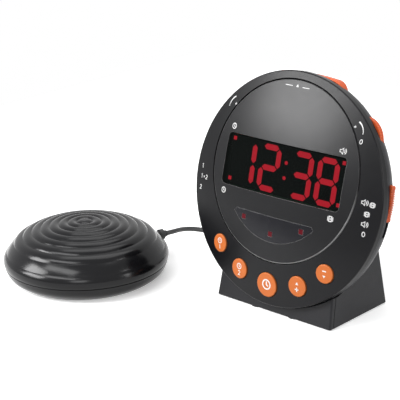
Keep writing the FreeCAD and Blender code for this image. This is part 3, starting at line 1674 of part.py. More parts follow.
def make_coil():
    """The put away length, wound in layers as one unbroken tube."""
    total = coil_layer_turns * coil_layers + coil_extra_turns
    count = int(round(total / quarter_turn))
    stops = [index * quarter_turn for index in range(count + 1)]
    points = [coil_point(stop) for stop in stops]
    ways = [coil_tangent(stop, total) for stop in stops]
    edges = [Part.makeLine(points[0] - Y_AXIS * lead_diameter, points[0])]
    for index in range(count):
        edges += biarc(points[index], ways[index], points[index + 1], ways[index + 1])
    edges.append(Part.makeLine(points[-1], points[-1] - Y_AXIS * lead_diameter))
    path, tube = tube_along(edges, points[0] - Y_AXIS * lead_diameter, Y_AXIS)
    print("coil length", round(path.Length, 1), "turns", total, "least gap", round(least_gap(path), 2),
          "volume share", round(tube.Volume / (math.pi * lead_radius ** 2 * path.Length), 4))
    keep("lead_coil", tube)
    tie_inner = tie_section(run_gap)
    tie = tie_section(run_gap + tie_thickness).cut(tie_inner)
    keep("lead_tie", tie)
    return path.Length


def tie_section(growth):
    """The space of the tie round the bundle, on the side next to the clock."""
    reach = coil_pitch * coil_layer_turns / 2 + lead_radius + growth
    low = coil_base() - lead_radius - growth
    high = coil_base() + coil_pitch * (coil_layers - 1) + lead_radius + growth
    y = coil_y - coil_middle_radius
    overlong = 0 if growth > run_gap else overrun
    half = tie_width / 2 + overlong
    return block((coil_x - half, coil_x + half), (y - reach, y + reach), (low, high))


def least_gap(path):
    """The smallest gap between turns, measured on points along the path."""
    spacing = lead_radius
    points = path.discretize(Distance=spacing)
    skip = int(math.pi * coil_middle_radius / spacing)
    least = None
    cells = {}
    for index, point in enumerate(points):
        key = (int(point.x // coil_pitch), int(point.y // coil_pitch), int(point.z // coil_pitch))
        cells.setdefault(key, []).append(index)
    for index, point in enumerate(points):
        key = (int(point.x // coil_pitch), int(point.y // coil_pitch), int(point.z // coil_pitch))
        for dx in (-1, 0, 1):
            for dy in (-1, 0, 1):
                for dz in (-1, 0, 1):
                    near = cells.get((key[0] + dx, key[1] + dy, key[2] + dz), ())
                    for other in near:
                        if other - index < skip:
                            continue
                        gap = (points[other] - point).Length
                        least = gap if least is None else min(least, gap)
    return least - lead_diameter if least else coil_pitch


def make_lead():
    """The grommet in the pad, the lead's stretches, its coil and tie, and its plug."""
    way = exit_frame()
    axis = Z_AXIS * exit_height + vec(pad_x, pad_y)
    collar_start = axis + way * (exit_reach - grommet_collar)
    grommet = fused([
        rod_along(grommet_neck_radius, axis + way * grommet_inside, way, exit_reach - grommet_inside),
        rod_along(grommet_collar_radius, collar_start, way, grommet_collar),
    ])
    keep("lead_grommet", grommet)
    total = make_tube("lead_run", run_points)
    total += make_coil()
    total += make_tube("lead_tail", tail_points)
    print("whole lead", round(total, 1))
    profile = [
        (0, 0, 0),
        (plug_radius, 0, 0),
        (plug_radius, 0, plug_straight),
        (plug_tail_radius, 0, plug_length),
        (0, 0, plug_length),
    ]
    body = face_of(profile, [0, rim_round, plug_radius, 0, 0]).revolve(vec(0, 0), Z_AXIS, 360)
    rings = []
    for step in range(plug_ring_count):
        low = plug_straight + step * lead_radius
        ring = rod(plug_radius + overrun, 0, 0, low, low + lead_radius / 2)
        rings.append(ring.cut(rod(plug_radius - 2 * plug_ring_depth, 0, 0, low - overrun, low + overrun)))
    pin = rod(plug_pin_radius, 0, 0, -plug_pin_length, plug_ring_depth * 2)
    body = cut_all(body, rings + [pin])
    tip = pin.makeFillet(plug_pin_radius / 2, edge_ring(pin, plug_pin_radius, -plug_pin_length, seat_gap))
    turn = FreeCAD.Placement(vec(-jack_x, plug_start, jack_height), FreeCAD.Rotation(X_AXIS, -90))
    for name, shape in (("shaker_plug", body), ("plug_pin", tip)):
        placed = shape.copy()
        placed.Placement = turn.multiply(placed.Placement)
        keep(name, placed)


def build():
    make_front()
    make_inserts()
    make_board()
    make_digits()
    make_buttons()
    board_screws = make_housing()
    make_speaker()
    make_snooze()
    make_wheels()
    make_knobs()
    tray_top = make_stand()
    make_battery()
    head_board_screws = placed_head(Part.makeCompound(board_screws))
    stand_board_screws = []
    make_jacks(tray_top, stand_board_screws)
    keep("board_screws", Part.makeCompound([head_board_screws] + stand_board_screws))
    make_pad()
    make_motor()
    make_lead()


build()
os.makedirs("parts", exist_ok=True)
for node_name, node_shape in nodes.items():
    if not node_shape.isValid():
        print("invalid", node_name)
    if not node_shape.Solids:
        print("no solid", node_name)
    node_shape.exportStep("parts/" + node_name + ".step")
print(len(nodes), "nodes")
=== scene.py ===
import math

import bpy
import numpy as np
from mathutils import Matrix, Vector


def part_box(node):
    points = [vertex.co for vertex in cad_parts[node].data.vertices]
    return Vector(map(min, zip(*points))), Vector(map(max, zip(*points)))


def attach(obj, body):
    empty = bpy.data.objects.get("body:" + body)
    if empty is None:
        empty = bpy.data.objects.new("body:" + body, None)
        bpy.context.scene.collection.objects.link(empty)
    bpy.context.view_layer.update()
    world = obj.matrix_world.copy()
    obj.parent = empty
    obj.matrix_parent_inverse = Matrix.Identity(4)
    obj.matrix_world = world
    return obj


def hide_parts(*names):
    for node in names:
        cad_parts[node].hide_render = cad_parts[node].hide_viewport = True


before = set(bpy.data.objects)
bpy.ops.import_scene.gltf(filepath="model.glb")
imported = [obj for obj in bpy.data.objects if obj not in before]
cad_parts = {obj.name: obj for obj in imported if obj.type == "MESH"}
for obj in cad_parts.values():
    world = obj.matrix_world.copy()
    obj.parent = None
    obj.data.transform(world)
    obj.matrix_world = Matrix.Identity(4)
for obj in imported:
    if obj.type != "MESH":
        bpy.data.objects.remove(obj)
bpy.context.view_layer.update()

# A bed shaker alarm clock: a round head leans back in a hollow stand, and a round shaker
# pad lies beside it on a thin lead. All lengths are metres.

# ---- Camera: from the clock's right and a little above, as the photograph was taken ----
# A long lens with a slight roll. Its place, aim and lens were fitted to the face circle, the
# display's corners and the stand's corners.
camera_azimuth = math.radians(43.49)
camera_elevation = math.radians(19.07)
camera_roll = math.radians(-1.65)
camera_distance = 0.90482
camera_target = Vector((-0.08278, 0.0, 0.04605))
backward = Vector((
    math.sin(camera_azimuth) * math.cos(camera_elevation),
    -math.cos(camera_azimuth) * math.cos(camera_elevation),
    math.sin(camera_elevation),
))
rightward = Vector((math.cos(camera_azimuth), math.sin(camera_azimuth), 0.0))
upward = backward.cross(rightward)
rolled_right = rightward * math.cos(camera_roll) + upward * math.sin(camera_roll)
rolled_up = upward * math.cos(camera_roll) - rightward * math.sin(camera_roll)
camera_data = bpy.data.cameras.new("camera")
camera_data.lens = 127.42
camera_data.sensor_width = 36.0
camera_data.clip_end = 20.0
camera = bpy.data.objects.new("camera", camera_data)
turn = Matrix((rolled_right, rolled_up, backward)).transposed().to_4x4()
camera.matrix_world = Matrix.Translation(camera_target + backward * camera_distance) @ turn
bpy.context.collection.objects.link(camera)
bpy.context.scene.camera = camera


# ---- Lead: a limp round lead with a smooth black jacket, put away in a coil ----
# It leaves the pad through a moulded strain relief, runs behind the clock, is wound up in
# four layers held by a tie, and ends in a straight plug in the stand's left jack.
LEAD_RADIUS = 0.0016
LEAD_PITCH = 0.0037
COIL_CENTRE = np.array((-0.056025, 0.0912))
COIL_BASE = 0.0024
COIL_RADIUS = 0.0192
LAYER_TURNS = 3.5
LAST_LAYER = 3
COIL_TURNS = 14.5
POINTS_PER_TURN = 16
run_points = np.array((
    (-115.55, -1.92, 15.8),
    (-113.5, 4.77, 15.8),
    (-116.2, 16.0, 13.8),
    (-115.9, 27.0, 11.1),
    (-111.5, 38.0, 7.3),
    (-104.6, 48.3, 3.6),
    (-95.8, 57.8, 1.9),
    (-86.6, 67.0, 2.1),
    (-81.7, 78.0, 2.4),
    (-81.7, 88.0, 2.4),
)) / 1000
tail_points = np.array((
    (-28.5, 88.0, 13.5),
    (-28.5, 76.0, 13.5),
    (-20.0, 60.5, 22.6),
    (-20.0, 49.0, 22.6),
)) / 1000


def winding(turns):
    """Points of the coil, from an array of turns counted from its start.

    The radius falls and grows by one pitch a turn, reversing at each layer, and the height
    climbs one pitch over the half turn round each reversal. The spline cuts inside its
    points, so the radius is enlarged by one over the cosine of half the step's angle.
    """
    layer = np.minimum(turns // LAYER_TURNS, LAST_LAYER)
    within = turns - layer * LAYER_TURNS
    travelled = np.where(layer % 2 == 0, within, LAYER_TURNS - within)
    radius = COIL_RADIUS + LEAD_PITCH * (LAYER_TURNS / 2 - travelled)
    radius = radius / math.cos(math.pi / POINTS_PER_TURN)
    reversals = np.arange(1, LAST_LAYER + 1)[:, None] * LAYER_TURNS
    climbs = np.clip((turns[None, :] - reversals) * 2 + 0.5, 0, 1).sum(axis=0)
    angle = math.pi - 2 * math.pi * turns
    return np.stack((
        COIL_CENTRE[0] + radius * np.cos(angle),
        COIL_CENTRE[1] + radius * np.sin(angle),
        COIL_BASE + LEAD_PITCH * climbs,
    ), axis=1)


def cord_curve(name, points, radius):
    """A round cord: an open NURBS spline of order 3 with the given control points.

    The points carry the radius and the bevel is one, so that the curve's bounds are the cord's.
    """
    curve = bpy.data.curves.new(name, "CURVE")
    curve.dimensions = "3D"
    curve.bevel_depth = 1.0
    curve.bevel_resolution = 5
    curve.use_fill_caps = True
    curve.resolution_u = 5
    spline = curve.splines.new("NURBS")
    spline.points.add(len(points) - 1)
    spline.points.foreach_set("co", np.column_stack((points, np.ones(len(points)))).ravel())
    spline.points.foreach_set("radius", np.full(len(points), radius))
    spline.order_u = 3
    spline.use_endpoint_u = True
    piece = bpy.data.objects.new(name, curve)
    bpy.context.collection.objects.link(piece)
    return piece


turn_steps = np.arange(0, COIL_TURNS + 0.001, 1 / POINTS_PER_TURN)
lead_points = np.concatenate((run_points, winding(turn_steps), tail_points))
lead = cord_curve("shaker_lead", lead_points, LEAD_RADIUS)
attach(lead, "clock")
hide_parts("lead_run", "lead_coil", "lead_tail")


def new_group(name, inputs, outputs):
    """An empty shader node group with named sockets: (name, kind, default) and (name, kind)."""
    group = bpy.data.node_groups.new(name, "ShaderNodeTree")
    for label, kind, value in inputs:
        socket = group.interface.new_socket(label, in_out="INPUT", socket_type=kind)
        socket.default_value = value
    for label, kind in outputs:
        group.interface.new_socket(label, in_out="OUTPUT", socket_type=kind)
    return group, group.nodes.new("NodeGroupInput"), group.nodes.new("NodeGroupOutput")


def add(tree, kind, links=(), **settings):
    """Adds a node, sets its properties or input values, and links its inputs."""
    node = tree.nodes.new(kind)
    for label, value in settings.items():
        if hasattr(node, label):
            setattr(node, label, value)
        else:
            node.inputs[label.replace("_", " ")].default_value = value
    for label, source in links:
        tree.links.new(source, node.inputs[label])
    return node


def combined(tree, operation, first, second, clamp=False):
    """The result of a math node on two sources, each another node's output or a number."""
    node = add(tree, "ShaderNodeMath", operation=operation, use_clamp=clamp)
    for slot, source in enumerate((first, second)):
        if isinstance(source, float):
            node.inputs[slot].default_value = source
        else:
            tree.links.new(source, node.inputs[slot])
    return node.outputs["Value"]


def ranged(tree, source, low, high, to_low=0.0, to_high=1.0):
    """A source taken from one range to another in proportion, and held within the second."""
    node = add(tree, "ShaderNodeMapRange", [("Value", source)])
    node.inputs["From Min"].default_value = low
    node.inputs["From Max"].default_value = high
    node.inputs["To Min"].default_value = to_low
    node.inputs["To Max"].default_value = to_high
    return node.outputs["Result"]


SKIN_OUTPUTS = (
    ("Colour", "NodeSocketColor"), ("Roughness", "NodeSocketFloat"), ("Normal", "NodeSocketVector"),
)


def skin_group():
    """Moulded skin: fine grain, slow mottling, smudges and paler edges.

    The pale edge is where the normal over a small radius departs from the true normal. It is
    wear on most finishes and a painted highlight on the face panel and the alert strip.
    """
    group, entry, leave = new_group(
        "moulded_skin",
        (
            ("Colour", "NodeSocketColor", (0.1, 0.1, 0.1, 1)),
            ("Wear And Sheen Colour", "NodeSocketColor", (0.2, 0.2, 0.2, 1)),
            ("Mottle", "NodeSocketFloat", 0.1),
            ("Grain Scale", "NodeSocketFloat", 2500),
            ("Grain Height", "NodeSocketFloat", 0.2),
            ("Roughness", "NodeSocketFloat", 0.4),
            ("Smudge", "NodeSocketFloat", 0.1),
            ("Edge", "NodeSocketFloat", 0.3),
        ),
        SKIN_OUTPUTS,
    )
    place = add(group, "ShaderNodeTexCoord").outputs["Object"]
    grain = add(group, "ShaderNodeTexNoise",
                [("Vector", place), ("Scale", entry.outputs["Grain Scale"])],
                Detail=3.0, Roughness=0.6)
    cloud = add(group, "ShaderNodeTexNoise", [("Vector", place)],
                Scale=45.0, Detail=5.0, Roughness=0.62)
    smear = add(group, "ShaderNodeTexNoise", [("Vector", place)],
                Scale=120.0, Detail=6.0, Distortion=1.4)
    soft = add(group, "ShaderNodeBevel", samples=4, Radius=0.00035)
    true = add(group, "ShaderNodeNewGeometry")
    agree = add(group, "ShaderNodeVectorMath",
                [(0, soft.outputs["Normal"]), (1, true.outputs["Normal"])], operation="DOT_PRODUCT")
    edge = ranged(group, agree.outputs["Value"], 0.98, 0.80)
    # Pale edges: wear on most finishes, a painted highlight on the face panel and the alert strip.
    patchy_edge = combined(group, "MULTIPLY", edge, smear.outputs["Fac"])
    wear_and_sheen = combined(group, "MULTIPLY", patchy_edge, entry.outputs["Edge"], clamp=True)
    swing = ranged(group, cloud.outputs["Fac"], 0.3, 0.7, -0.5, 0.5)
    swing = combined(group, "MULTIPLY", swing, entry.outputs["Mottle"])
    lift = combined(group, "ADD", swing, 1.0)
    tinted = add(group, "ShaderNodeVectorMath",
                 [(0, entry.outputs["Colour"]), ("Scale", lift)], operation="SCALE")
    colour = add(group, "ShaderNodeMix", [(0, wear_and_sheen)], data_type="RGBA")
    group.links.new(tinted.outputs["Vector"], colour.inputs[6])
    group.links.new(entry.outputs["Wear And Sheen Colour"], colour.inputs[7])
    group.links.new(colour.outputs[2], leave.inputs["Colour"])
    smudge = ranged(group, smear.outputs["Fac"], 0.35, 0.75, -0.5, 0.5)
    smudge = combined(group, "MULTIPLY", smudge, entry.outputs["Smudge"])
    rough = combined(group, "ADD", smudge, entry.outputs["Roughness"], clamp=True)
    group.links.new(rough, leave.inputs["Roughness"])
    bump = add(group, "ShaderNodeBump", [
        ("Height", grain.outputs["Fac"]),
        ("Strength", entry.outputs["Grain Height"]),
        ("Normal", soft.outputs["Normal"]),
    ], Distance=0.00012)
    group.links.new(bump.outputs["Normal"], leave.inputs["Normal"])
    return group


moulded_skin = skin_group()


def new_material(name):
    """A material with its shader and output, ready for nodes."""
    material = bpy.data.materials.new(name)
    material.use_nodes = True
    tree = material.node_tree
    return material, tree, tree.nodes["Principled BSDF"]


def group_finish(name, group, values, normal=True):
    """A material that takes its colour, roughness and, if wanted, its normal from a group."""
    material, tree, shader = new_material(name)
    skin = add(tree, "ShaderNodeGroup", node_tree=group)
    for label, value in values.items():
        skin.inputs[label].default_value = value
    tree.links.new(skin.outputs["Colour"], shader.inputs["Base Color"])
    tree.links.new(skin.outputs["Roughness"], shader.inputs["Roughness"])
    if normal:
        tree.links.new(skin.outputs["Normal"], shader.inputs["Normal"])
    return material, tree, shader


def moulded(name, colour, wear_and_sheen, roughness, grain=0.2, scale=2500.0, mottle=0.12, smudge=0.1,
            edge=0.4, specular=0.5):
    """A moulded plastic or rubber, all but the shader itself from the moulded skin group."""
    values = {"Colour": (*colour, 1), "Wear And Sheen Colour": (*wear_and_sheen, 1), "Mottle": mottle,
              "Grain Scale": scale, "Grain Height": grain, "Roughness": roughness,
              "Smudge": smudge, "Edge": edge}
    material, _, shader = group_finish(name, moulded_skin, values)
    shader.inputs["Specular IOR Level"].default_value = specular
    return material


def dress(material, *nodes):
    """Puts a material on CAD nodes."""
    for node in nodes:
        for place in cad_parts[node].material_slots:
            place.material = material


lead_jacket = moulded("lead_jacket", (0.012, 0.012, 0.013), (0.05, 0.05, 0.05), 0.38, grain=0.06,
                      scale=900.0)
lead.data.materials.append(lead_jacket)


# ---- Strain relief: a short ribbed sleeve where the lead leaves the pad ----
# Soft black rubber, moulded round the lead in one piece with the grommet that sits in the
# pad's wall. It tapers away from the pad, and five ribs let it bend.
PAD_CENTRE = np.array((-0.13195, -0.05557, 0.0))
EXIT_ANGLE = math.radians(73.0)
EXIT_HEIGHT = 0.0158
RELIEF_START = 0.0528
RELIEF_LENGTH = 0.0060
RELIEF_RADIUS = 0.0028
RELIEF_TAPER = 0.0009
RELIEF_RIBS = 5
RIB_HEIGHT = 0.0002
exit_way = np.array((math.cos(EXIT_ANGLE), math.sin(EXIT_ANGLE), 0.0))


def surface(name, grid, material, loop_rows=False, loop_columns=False, caps=False):
    """A mesh from a grid of points, rows by columns by 3, as one sheet of four sided faces.

    Rows or columns may close on themselves, and caps fill the first and last rows.
    """
    rows, columns = grid.shape[:2]
    index = np.arange(rows * columns).reshape(rows, columns)
    if loop_rows:
        index = np.concatenate((index, index[:1]), axis=0)
    if loop_columns:
        index = np.concatenate((index, index[:, :1]), axis=1)
    faces = np.stack((index[:-1, :-1], index[:-1, 1:], index[1:, 1:], index[1:, :-1]), axis=-1)
    faces = faces.reshape(-1, 4).tolist()
    if caps:
        faces.append(index[0, :columns][::-1].tolist())
        faces.append(index[-2 if loop_rows else -1, :columns].tolist())
    mesh = bpy.data.meshes.new(name)
    mesh.from_pydata(grid.reshape(-1, 3).tolist(), [], faces)
    mesh.polygons.foreach_set("use_smooth", np.ones(len(faces), dtype=bool))
    mesh.materials.append(material)
    mesh.update()
    piece = bpy.data.objects.new(name, mesh)
    bpy.context.collection.objects.link(piece)
    return piece


def turned(profile, origin, axis, steps=48):
    """A profile of (distance along the axis, radius) turned round an axis through a point."""
    axis = np.asarray(axis, dtype=float)
    side = np.cross(axis, (0, 0, 1)) if abs(axis[2]) < 0.9 else np.array((1.0, 0, 0))
    side = side / np.linalg.norm(side)
    other = np.cross(axis, side)
    angle = np.linspace(0, 2 * np.pi, steps, endpoint=False)
    round_way = np.cos(angle)[:, None] * side + np.sin(angle)[:, None] * other
    profile = np.asarray(profile, dtype=float)
    return np.asarray(origin) + profile[:, :1, None] * axis + profile[:, 1:, None] * round_way


# The sleeve's radius falls with the power 0.8 of the way along, and a square wave adds the ribs.
along = np.linspace(0, 1, 61)
ribs = RIB_HEIGHT * np.sign(np.sin(along * 2 * np.pi * RELIEF_RIBS))
ribs = ribs * (along > 0.3) * (along < 0.95)
sleeve = RELIEF_RADIUS - RELIEF_TAPER * along ** 0.8 + ribs
sleeve = np.concatenate(((LEAD_RADIUS,), sleeve, (LEAD_RADIUS,)))
sleeve_along = np.concatenate(((0.0,), along, (1.0,))) * RELIEF_LENGTH
relief_origin = PAD_CENTRE + exit_way * RELIEF_START + np.array((0, 0, EXIT_HEIGHT))
soft_rubber = moulded("soft_rubber", (0.014, 0.014, 0.015), (0.05, 0.05, 0.05), 0.55, grain=0.25)
relief_grid = turned(np.column_stack((sleeve_along, sleeve)), relief_origin, exit_way)
relief = surface("lead_strain_relief", relief_grid, soft_rubber, loop_columns=True, caps=True)
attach(relief, "clock")
dress(soft_rubber, "lead_grommet")


# ---- Tie: a soft band closed round the coil, on the side next to the clock ----
# Black rubber, half a millimetre thick with rounded edges, pulled tight so that it lies on
# the coil as a loop with rounded corners.
TIE_WIDTH = 0.004
TIE_THICKNESS = 0.0005
TIE_SQUARENESS = 0.28
TIE_STEPS = 96
tie_low, tie_high = (np.array(corner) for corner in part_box("lead_tie"))
tie_middle = (tie_low + tie_high) / 2
tie_half = (tie_high - tie_low) / 2
angle = np.linspace(0, 2 * np.pi, TIE_STEPS, endpoint=False)
# The loop is a circle whose sine and cosine are raised to a small power, which squares it. The
# band's section goes round that loop: its place across the band, and outside or inside.
square_cos = np.sign(np.cos(angle)) * np.abs(np.cos(angle)) ** TIE_SQUARENESS
square_sin = np.sign(np.sin(angle)) * np.abs(np.sin(angle)) ** TIE_SQUARENESS
section = ((-1.0, 0), (-0.8, 1), (0.8, 1), (1.0, 0), (0.8, -1), (-0.8, -1))
tie_rows = []
for across, depth in section:
    reach = tie_half - TIE_THICKNESS * (0.5 - depth * 0.5)
    tie_rows.append(np.stack((
        np.full_like(angle, tie_middle[0] + across * TIE_WIDTH / 2),
        tie_middle[1] + reach[1] * square_cos,
        tie_middle[2] + reach[2] * square_sin,
    ), axis=1))
tie = surface("lead_tie_band", np.array(tie_rows), soft_rubber, loop_rows=True, loop_columns=True)
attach(tie, "clock")
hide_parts("lead_tie")


# ---- Plug: a straight plug at the lead's far end, in the stand's left jack ----
# A rubber grip with rings for the fingers is moulded over a turned pin. The pin is brass,
# plated bright, with insulating bands.
plug_rubber = moulded("plug_rubber", (0.013, 0.013, 0.014), (0.05, 0.05, 0.05), 0.42, grain=0.15)
dress(plug_rubber, "shaker_plug")


def metal_group():
    """Worked metal: fine scratches along one way, and cloudy tarnish that is darker and rougher."""
    group, entry, leave = new_group(
        "worked_metal",
        (
            ("Colour", "NodeSocketColor", (0.6, 0.6, 0.6, 1)),
            ("Tarnish", "NodeSocketFloat", 0.2),
            ("Scratch Scale", "NodeSocketVector", (300, 4000, 4000)),
            ("Scratch Height", "NodeSocketFloat", 0.1),
            ("Roughness", "NodeSocketFloat", 0.3),
        ),
        SKIN_OUTPUTS,
    )
    place = add(group, "ShaderNodeTexCoord").outputs["Object"]
    stretched = add(group, "ShaderNodeVectorMath",
                    [(0, place), (1, entry.outputs["Scratch Scale"])], operation="MULTIPLY")
    scratch = add(group, "ShaderNodeTexNoise", [("Vector", stretched.outputs["Vector"])],
                  Scale=1.0, Detail=4.0)
    cloud = add(group, "ShaderNodeTexNoise", [("Vector", place)], Scale=260.0, Detail=5.0)
    dark = combined(group, "MULTIPLY", cloud.outputs["Fac"], entry.outputs["Tarnish"], clamp=True)
    bright = combined(group, "SUBTRACT", 1.0, dark)
    tinted = add(group, "ShaderNodeVectorMath",
                 [(0, entry.outputs["Colour"]), ("Scale", bright)], operation="SCALE")
    group.links.new(tinted.outputs["Vector"], leave.inputs["Colour"])
    rough = combined(group, "ADD", dark, entry.outputs["Roughness"], clamp=True)
    group.links.new(rough, leave.inputs["Roughness"])
    bump = add(group, "ShaderNodeBump", [
        ("Height", scratch.outputs["Fac"]), ("Strength", entry.outputs["Scratch Height"]),
    ], Distance=0.0001)
    group.links.new(bump.outputs["Normal"], leave.inputs["Normal"])
    return group


worked_metal = metal_group()


def metal(name, colour, roughness, height=0.1, tarnish=0.2):
    """A metal finish, all but the shader itself from the worked metal group."""
    values = {"Colour": (*colour, 1), "Tarnish": tarnish, "Scratch Height": height,
              "Roughness": roughness}
    material, _, shader = group_finish(name, worked_metal, values)
    shader.inputs["Metallic"].default_value = 1.0
    return material


dress(metal("plated_pin", (0.72, 0.72, 0.73), 0.14, height=0.04, tarnish=0.1), "plug_pin")


# ---- Shaker pad: a round vibrating cushion of two shells, put under the pillow ----
# Both shells are moulded in glossy black plastic, the upper one with round ripples, and are
# screwed together from below. Soft feet sit in the underside, and the stand has the same.
pad_skin = moulded("pad_skin", (0.004, 0.004, 0.005), (0.02, 0.02, 0.02), 0.2, grain=0.01,
                   scale=3500.0, mottle=0.05, smudge=0.06, edge=0.1, specular=0.24)
dress(pad_skin, "pad_upper_shell", "pad_lower_shell")
dress(soft_rubber, "pad_feet", "stand_feet")


# ---- Head: front bezel, face panel and rear housing ----
# All three are moulded plastic, satin black in front and charcoal behind, screwed together
# from the back. A painted highlight runs as a thin pale line along the lower half of the panel's
# chamfered rim, and the panel's edges are painted pale as highlights too.
FACE_RADIUS = 0.070
LEAN = math.radians(13.9)
STAND_FRONT = -0.0278
RIM_FORWARD = 0.0039
RIM_LIFT = 0.0067
HEAD_Y = STAND_FRONT - RIM_FORWARD + FACE_RADIUS * math.sin(LEAN)
HEAD_Z = RIM_LIFT + FACE_RADIUS * math.cos(LEAN)
PANEL_RADIUS = 0.05405
PANEL_LIFT = 0.0108
# Where the painted highlight on the panel's rim lies: a ring just inside its edge, fading in below
# the centre.
HIGHLIGHT_RING_START = 0.0006
HIGHLIGHT_RING_FULL = 0.0004
HIGHLIGHT_FADE = 0.02


def rim_highlight_group():
    """Mask of the painted highlight on the panel's rim: the product of two ramps in the face's
    plane.

    One rises with the distance from the panel's centre, just inside its chamfer. The other
    rises with the depth below the centre, from nothing there to full 20 mm lower.
    """
    group, entry, leave = new_group("painted_rim_highlight", (), (("Mask", "NodeSocketFloat"),))
    place = add(group, "ShaderNodeTexCoord").outputs["Object"]
    offset = add(group, "ShaderNodeVectorMath", [(0, place)], operation="SUBTRACT")
    offset.inputs[1].default_value = (0, HEAD_Y, HEAD_Z)
    climb = add(group, "ShaderNodeVectorMath", [(0, offset.outputs["Vector"])],
                operation="DOT_PRODUCT")
    climb.inputs[1].default_value = (0, math.sin(LEAN), math.cos(LEAN))
    up = combined(group, "SUBTRACT", climb.outputs["Value"], PANEL_LIFT)
    across = add(group, "ShaderNodeSeparateXYZ", [("Vector", offset.outputs["Vector"])])
    flat = add(group, "ShaderNodeCombineXYZ", [("X", across.outputs["X"]), ("Y", up)])
    reach = add(group, "ShaderNodeVectorMath", [(0, flat.outputs["Vector"])], operation="LENGTH")
    ring = ranged(group, reach.outputs["Value"], PANEL_RADIUS - HIGHLIGHT_RING_START, PANEL_RADIUS - HIGHLIGHT_RING_FULL)
    low = ranged(group, up, 0.0, -HIGHLIGHT_FADE)
    mask = combined(group, "MULTIPLY", ring, low, clamp=True)
    group.links.new(mask, leave.inputs["Mask"])
    return group


bezel_skin = moulded("bezel_skin", (0.004, 0.004, 0.005), (0.03, 0.03, 0.03), 0.3, grain=0.1,
                     scale=3000.0, smudge=0.03, specular=0.17)
dress(bezel_skin, "front_bezel")
# The panel's pale edge colour is a painted highlight along its chamfered edges.
panel_skin = moulded("panel_skin", (0.004, 0.004, 0.005), (0.6, 0.6, 0.6), 0.31, grain=0.08,
                     scale=3000.0, smudge=0.03, edge=0.8, specular=0.22)
tree = panel_skin.node_tree
shader = tree.nodes["Principled BSDF"]
# A painted highlight: the rim mask lays a pale grey ring on the lower half of the panel's rim.
plain = shader.inputs["Base Color"].links[0].from_socket
rim = add(tree, "ShaderNodeGroup", node_tree=rim_highlight_group())
rim_highlighted = add(tree, "ShaderNodeMix", [(0, rim.outputs["Mask"]), (6, plain)], data_type="RGBA")
rim_highlighted.inputs[7].default_value = (0.5, 0.5, 0.5, 1)
tree.links.new(rim_highlighted.outputs[2], shader.inputs["Base Color"])
dress(panel_skin, "face_panel")
housing_skin = moulded("housing_skin", (0.012, 0.012, 0.015), (0.06, 0.06, 0.06), 0.4, grain=0.3,
                       scale=2200.0, specular=0.2)
dress(housing_skin, "rear_housing")


# ---- Display: a smoked window over the digits, and a curved strip with three alert lights ----
# Window and strip are cut from smoked acrylic and glued into rebates of the panel. The digits'
# bars are lit red from behind in a black module, and clear red pipes carry the alert lights.
smoked, tree, shader = group_finish("smoked_acrylic", moulded_skin, {
    "Colour": (0.01, 0.012, 0.011, 1), "Wear And Sheen Colour": (0.014, 0.016, 0.015, 1), "Mottle": 0.2,
    "Grain Height": 0.0, "Roughness": 0.3, "Smudge": 0.05, "Edge": 0.0,
}, normal=False)
shader.inputs["Alpha"].default_value = 0.3
shader.inputs["Specular IOR Level"].default_value = 0.0
dress(smoked, "display_window")
# The strip's pale edge colour is a painted highlight along its edges.
strip_lens = moulded("strip_lens", (0.006, 0.006, 0.009), (0.5, 0.5, 0.5), 0.2, grain=0.0,
                     mottle=0.05, edge=1.0, specular=0.2)
dress(strip_lens, "alert_strip")
module_face = moulded("module_face", (0.0015, 0.0015, 0.002), (0.004, 0.004, 0.004), 0.8,
                      grain=0.0, mottle=0.1, specular=0.0)
dress(module_face, "display_module")

lit_bars, tree, shader = new_material("lit_bars")
place = add(tree, "ShaderNodeTexCoord").outputs["Object"]
grain = add(tree, "ShaderNodeTexNoise", [("Vector", place)], Scale=1800.0, Detail=2.0)
glow = add(tree, "ShaderNodeValToRGB", [("Fac", grain.outputs["Fac"])])
for stop, position, colour in zip(glow.color_ramp.elements, (0.35, 0.65),
                                  ((0.8, 0.008, 0.03, 1), (0.95, 0.014, 0.045, 1))):
    stop.position = position
    stop.color = colour
tree.links.new(glow.outputs["Color"], shader.inputs["Emission Color"])
shader.inputs["Base Color"].default_value = (0.15, 0.002, 0.005, 1)
shader.inputs["Specular IOR Level"].default_value = 0.1
shader.inputs["Emission Strength"].default_value = 0.75
dress(lit_bars, "lit_segments")

pipe_red, tree, shader = group_finish("pipe_red", moulded_skin, {
    "Colour": (0.1, 0.003, 0.008, 1), "Wear And Sheen Colour": (0.14, 0.01, 0.015, 1), "Roughness": 0.25,
    "Grain Height": 0.0,
}, normal=False)
shader.inputs["Specular IOR Level"].default_value = 0.1
dress(pipe_red, "alert_light_pipes", "alert_lamps")


# ---- Controls: five keys, snooze bar, two thumbwheels and two slide knobs ----
# All are moulded in orange plastic. The keys in the front are of a paler batch than the bar,
# wheels and knobs round the rim. Each moves in its own opening and works a switch behind.
orange = moulded("orange_plastic", (0.57, 0.145, 0.03), (0.8, 0.35, 0.15), 0.42, grain=0.12,
                 scale=3000.0, mottle=0.06, edge=0.5, specular=0.3)
dress(orange, "alarm_one_button", "alarm_two_button", "time_button", "up_button", "down_button")
deep_orange = moulded("deep_orange_plastic", (0.66, 0.1, 0.02), (0.9, 0.3, 0.12), 0.4,
                      grain=0.12, scale=3000.0, mottle=0.06, edge=0.5, specular=0.3)
dress(deep_orange, "snooze_bar", "dimmer_wheel", "volume_wheel", "mode_knob", "alarm_select_knob")


# ---- Printed marks: white signs on the domed front and on the keys ----
# Thick white ink, pad printed: numbers, a clock, a loudspeaker and a shaking box. Each sign is
# a set of pen strokes, laid over the dome as thin closed strips.
DOME_RISE = 0.0088
SPHERE = (FACE_RADIUS ** 2 + DOME_RISE ** 2) / (2 * DOME_RISE)
INK_THICKNESS = 0.00003
INK_LIFT = 0.00001
PEN = 0.17


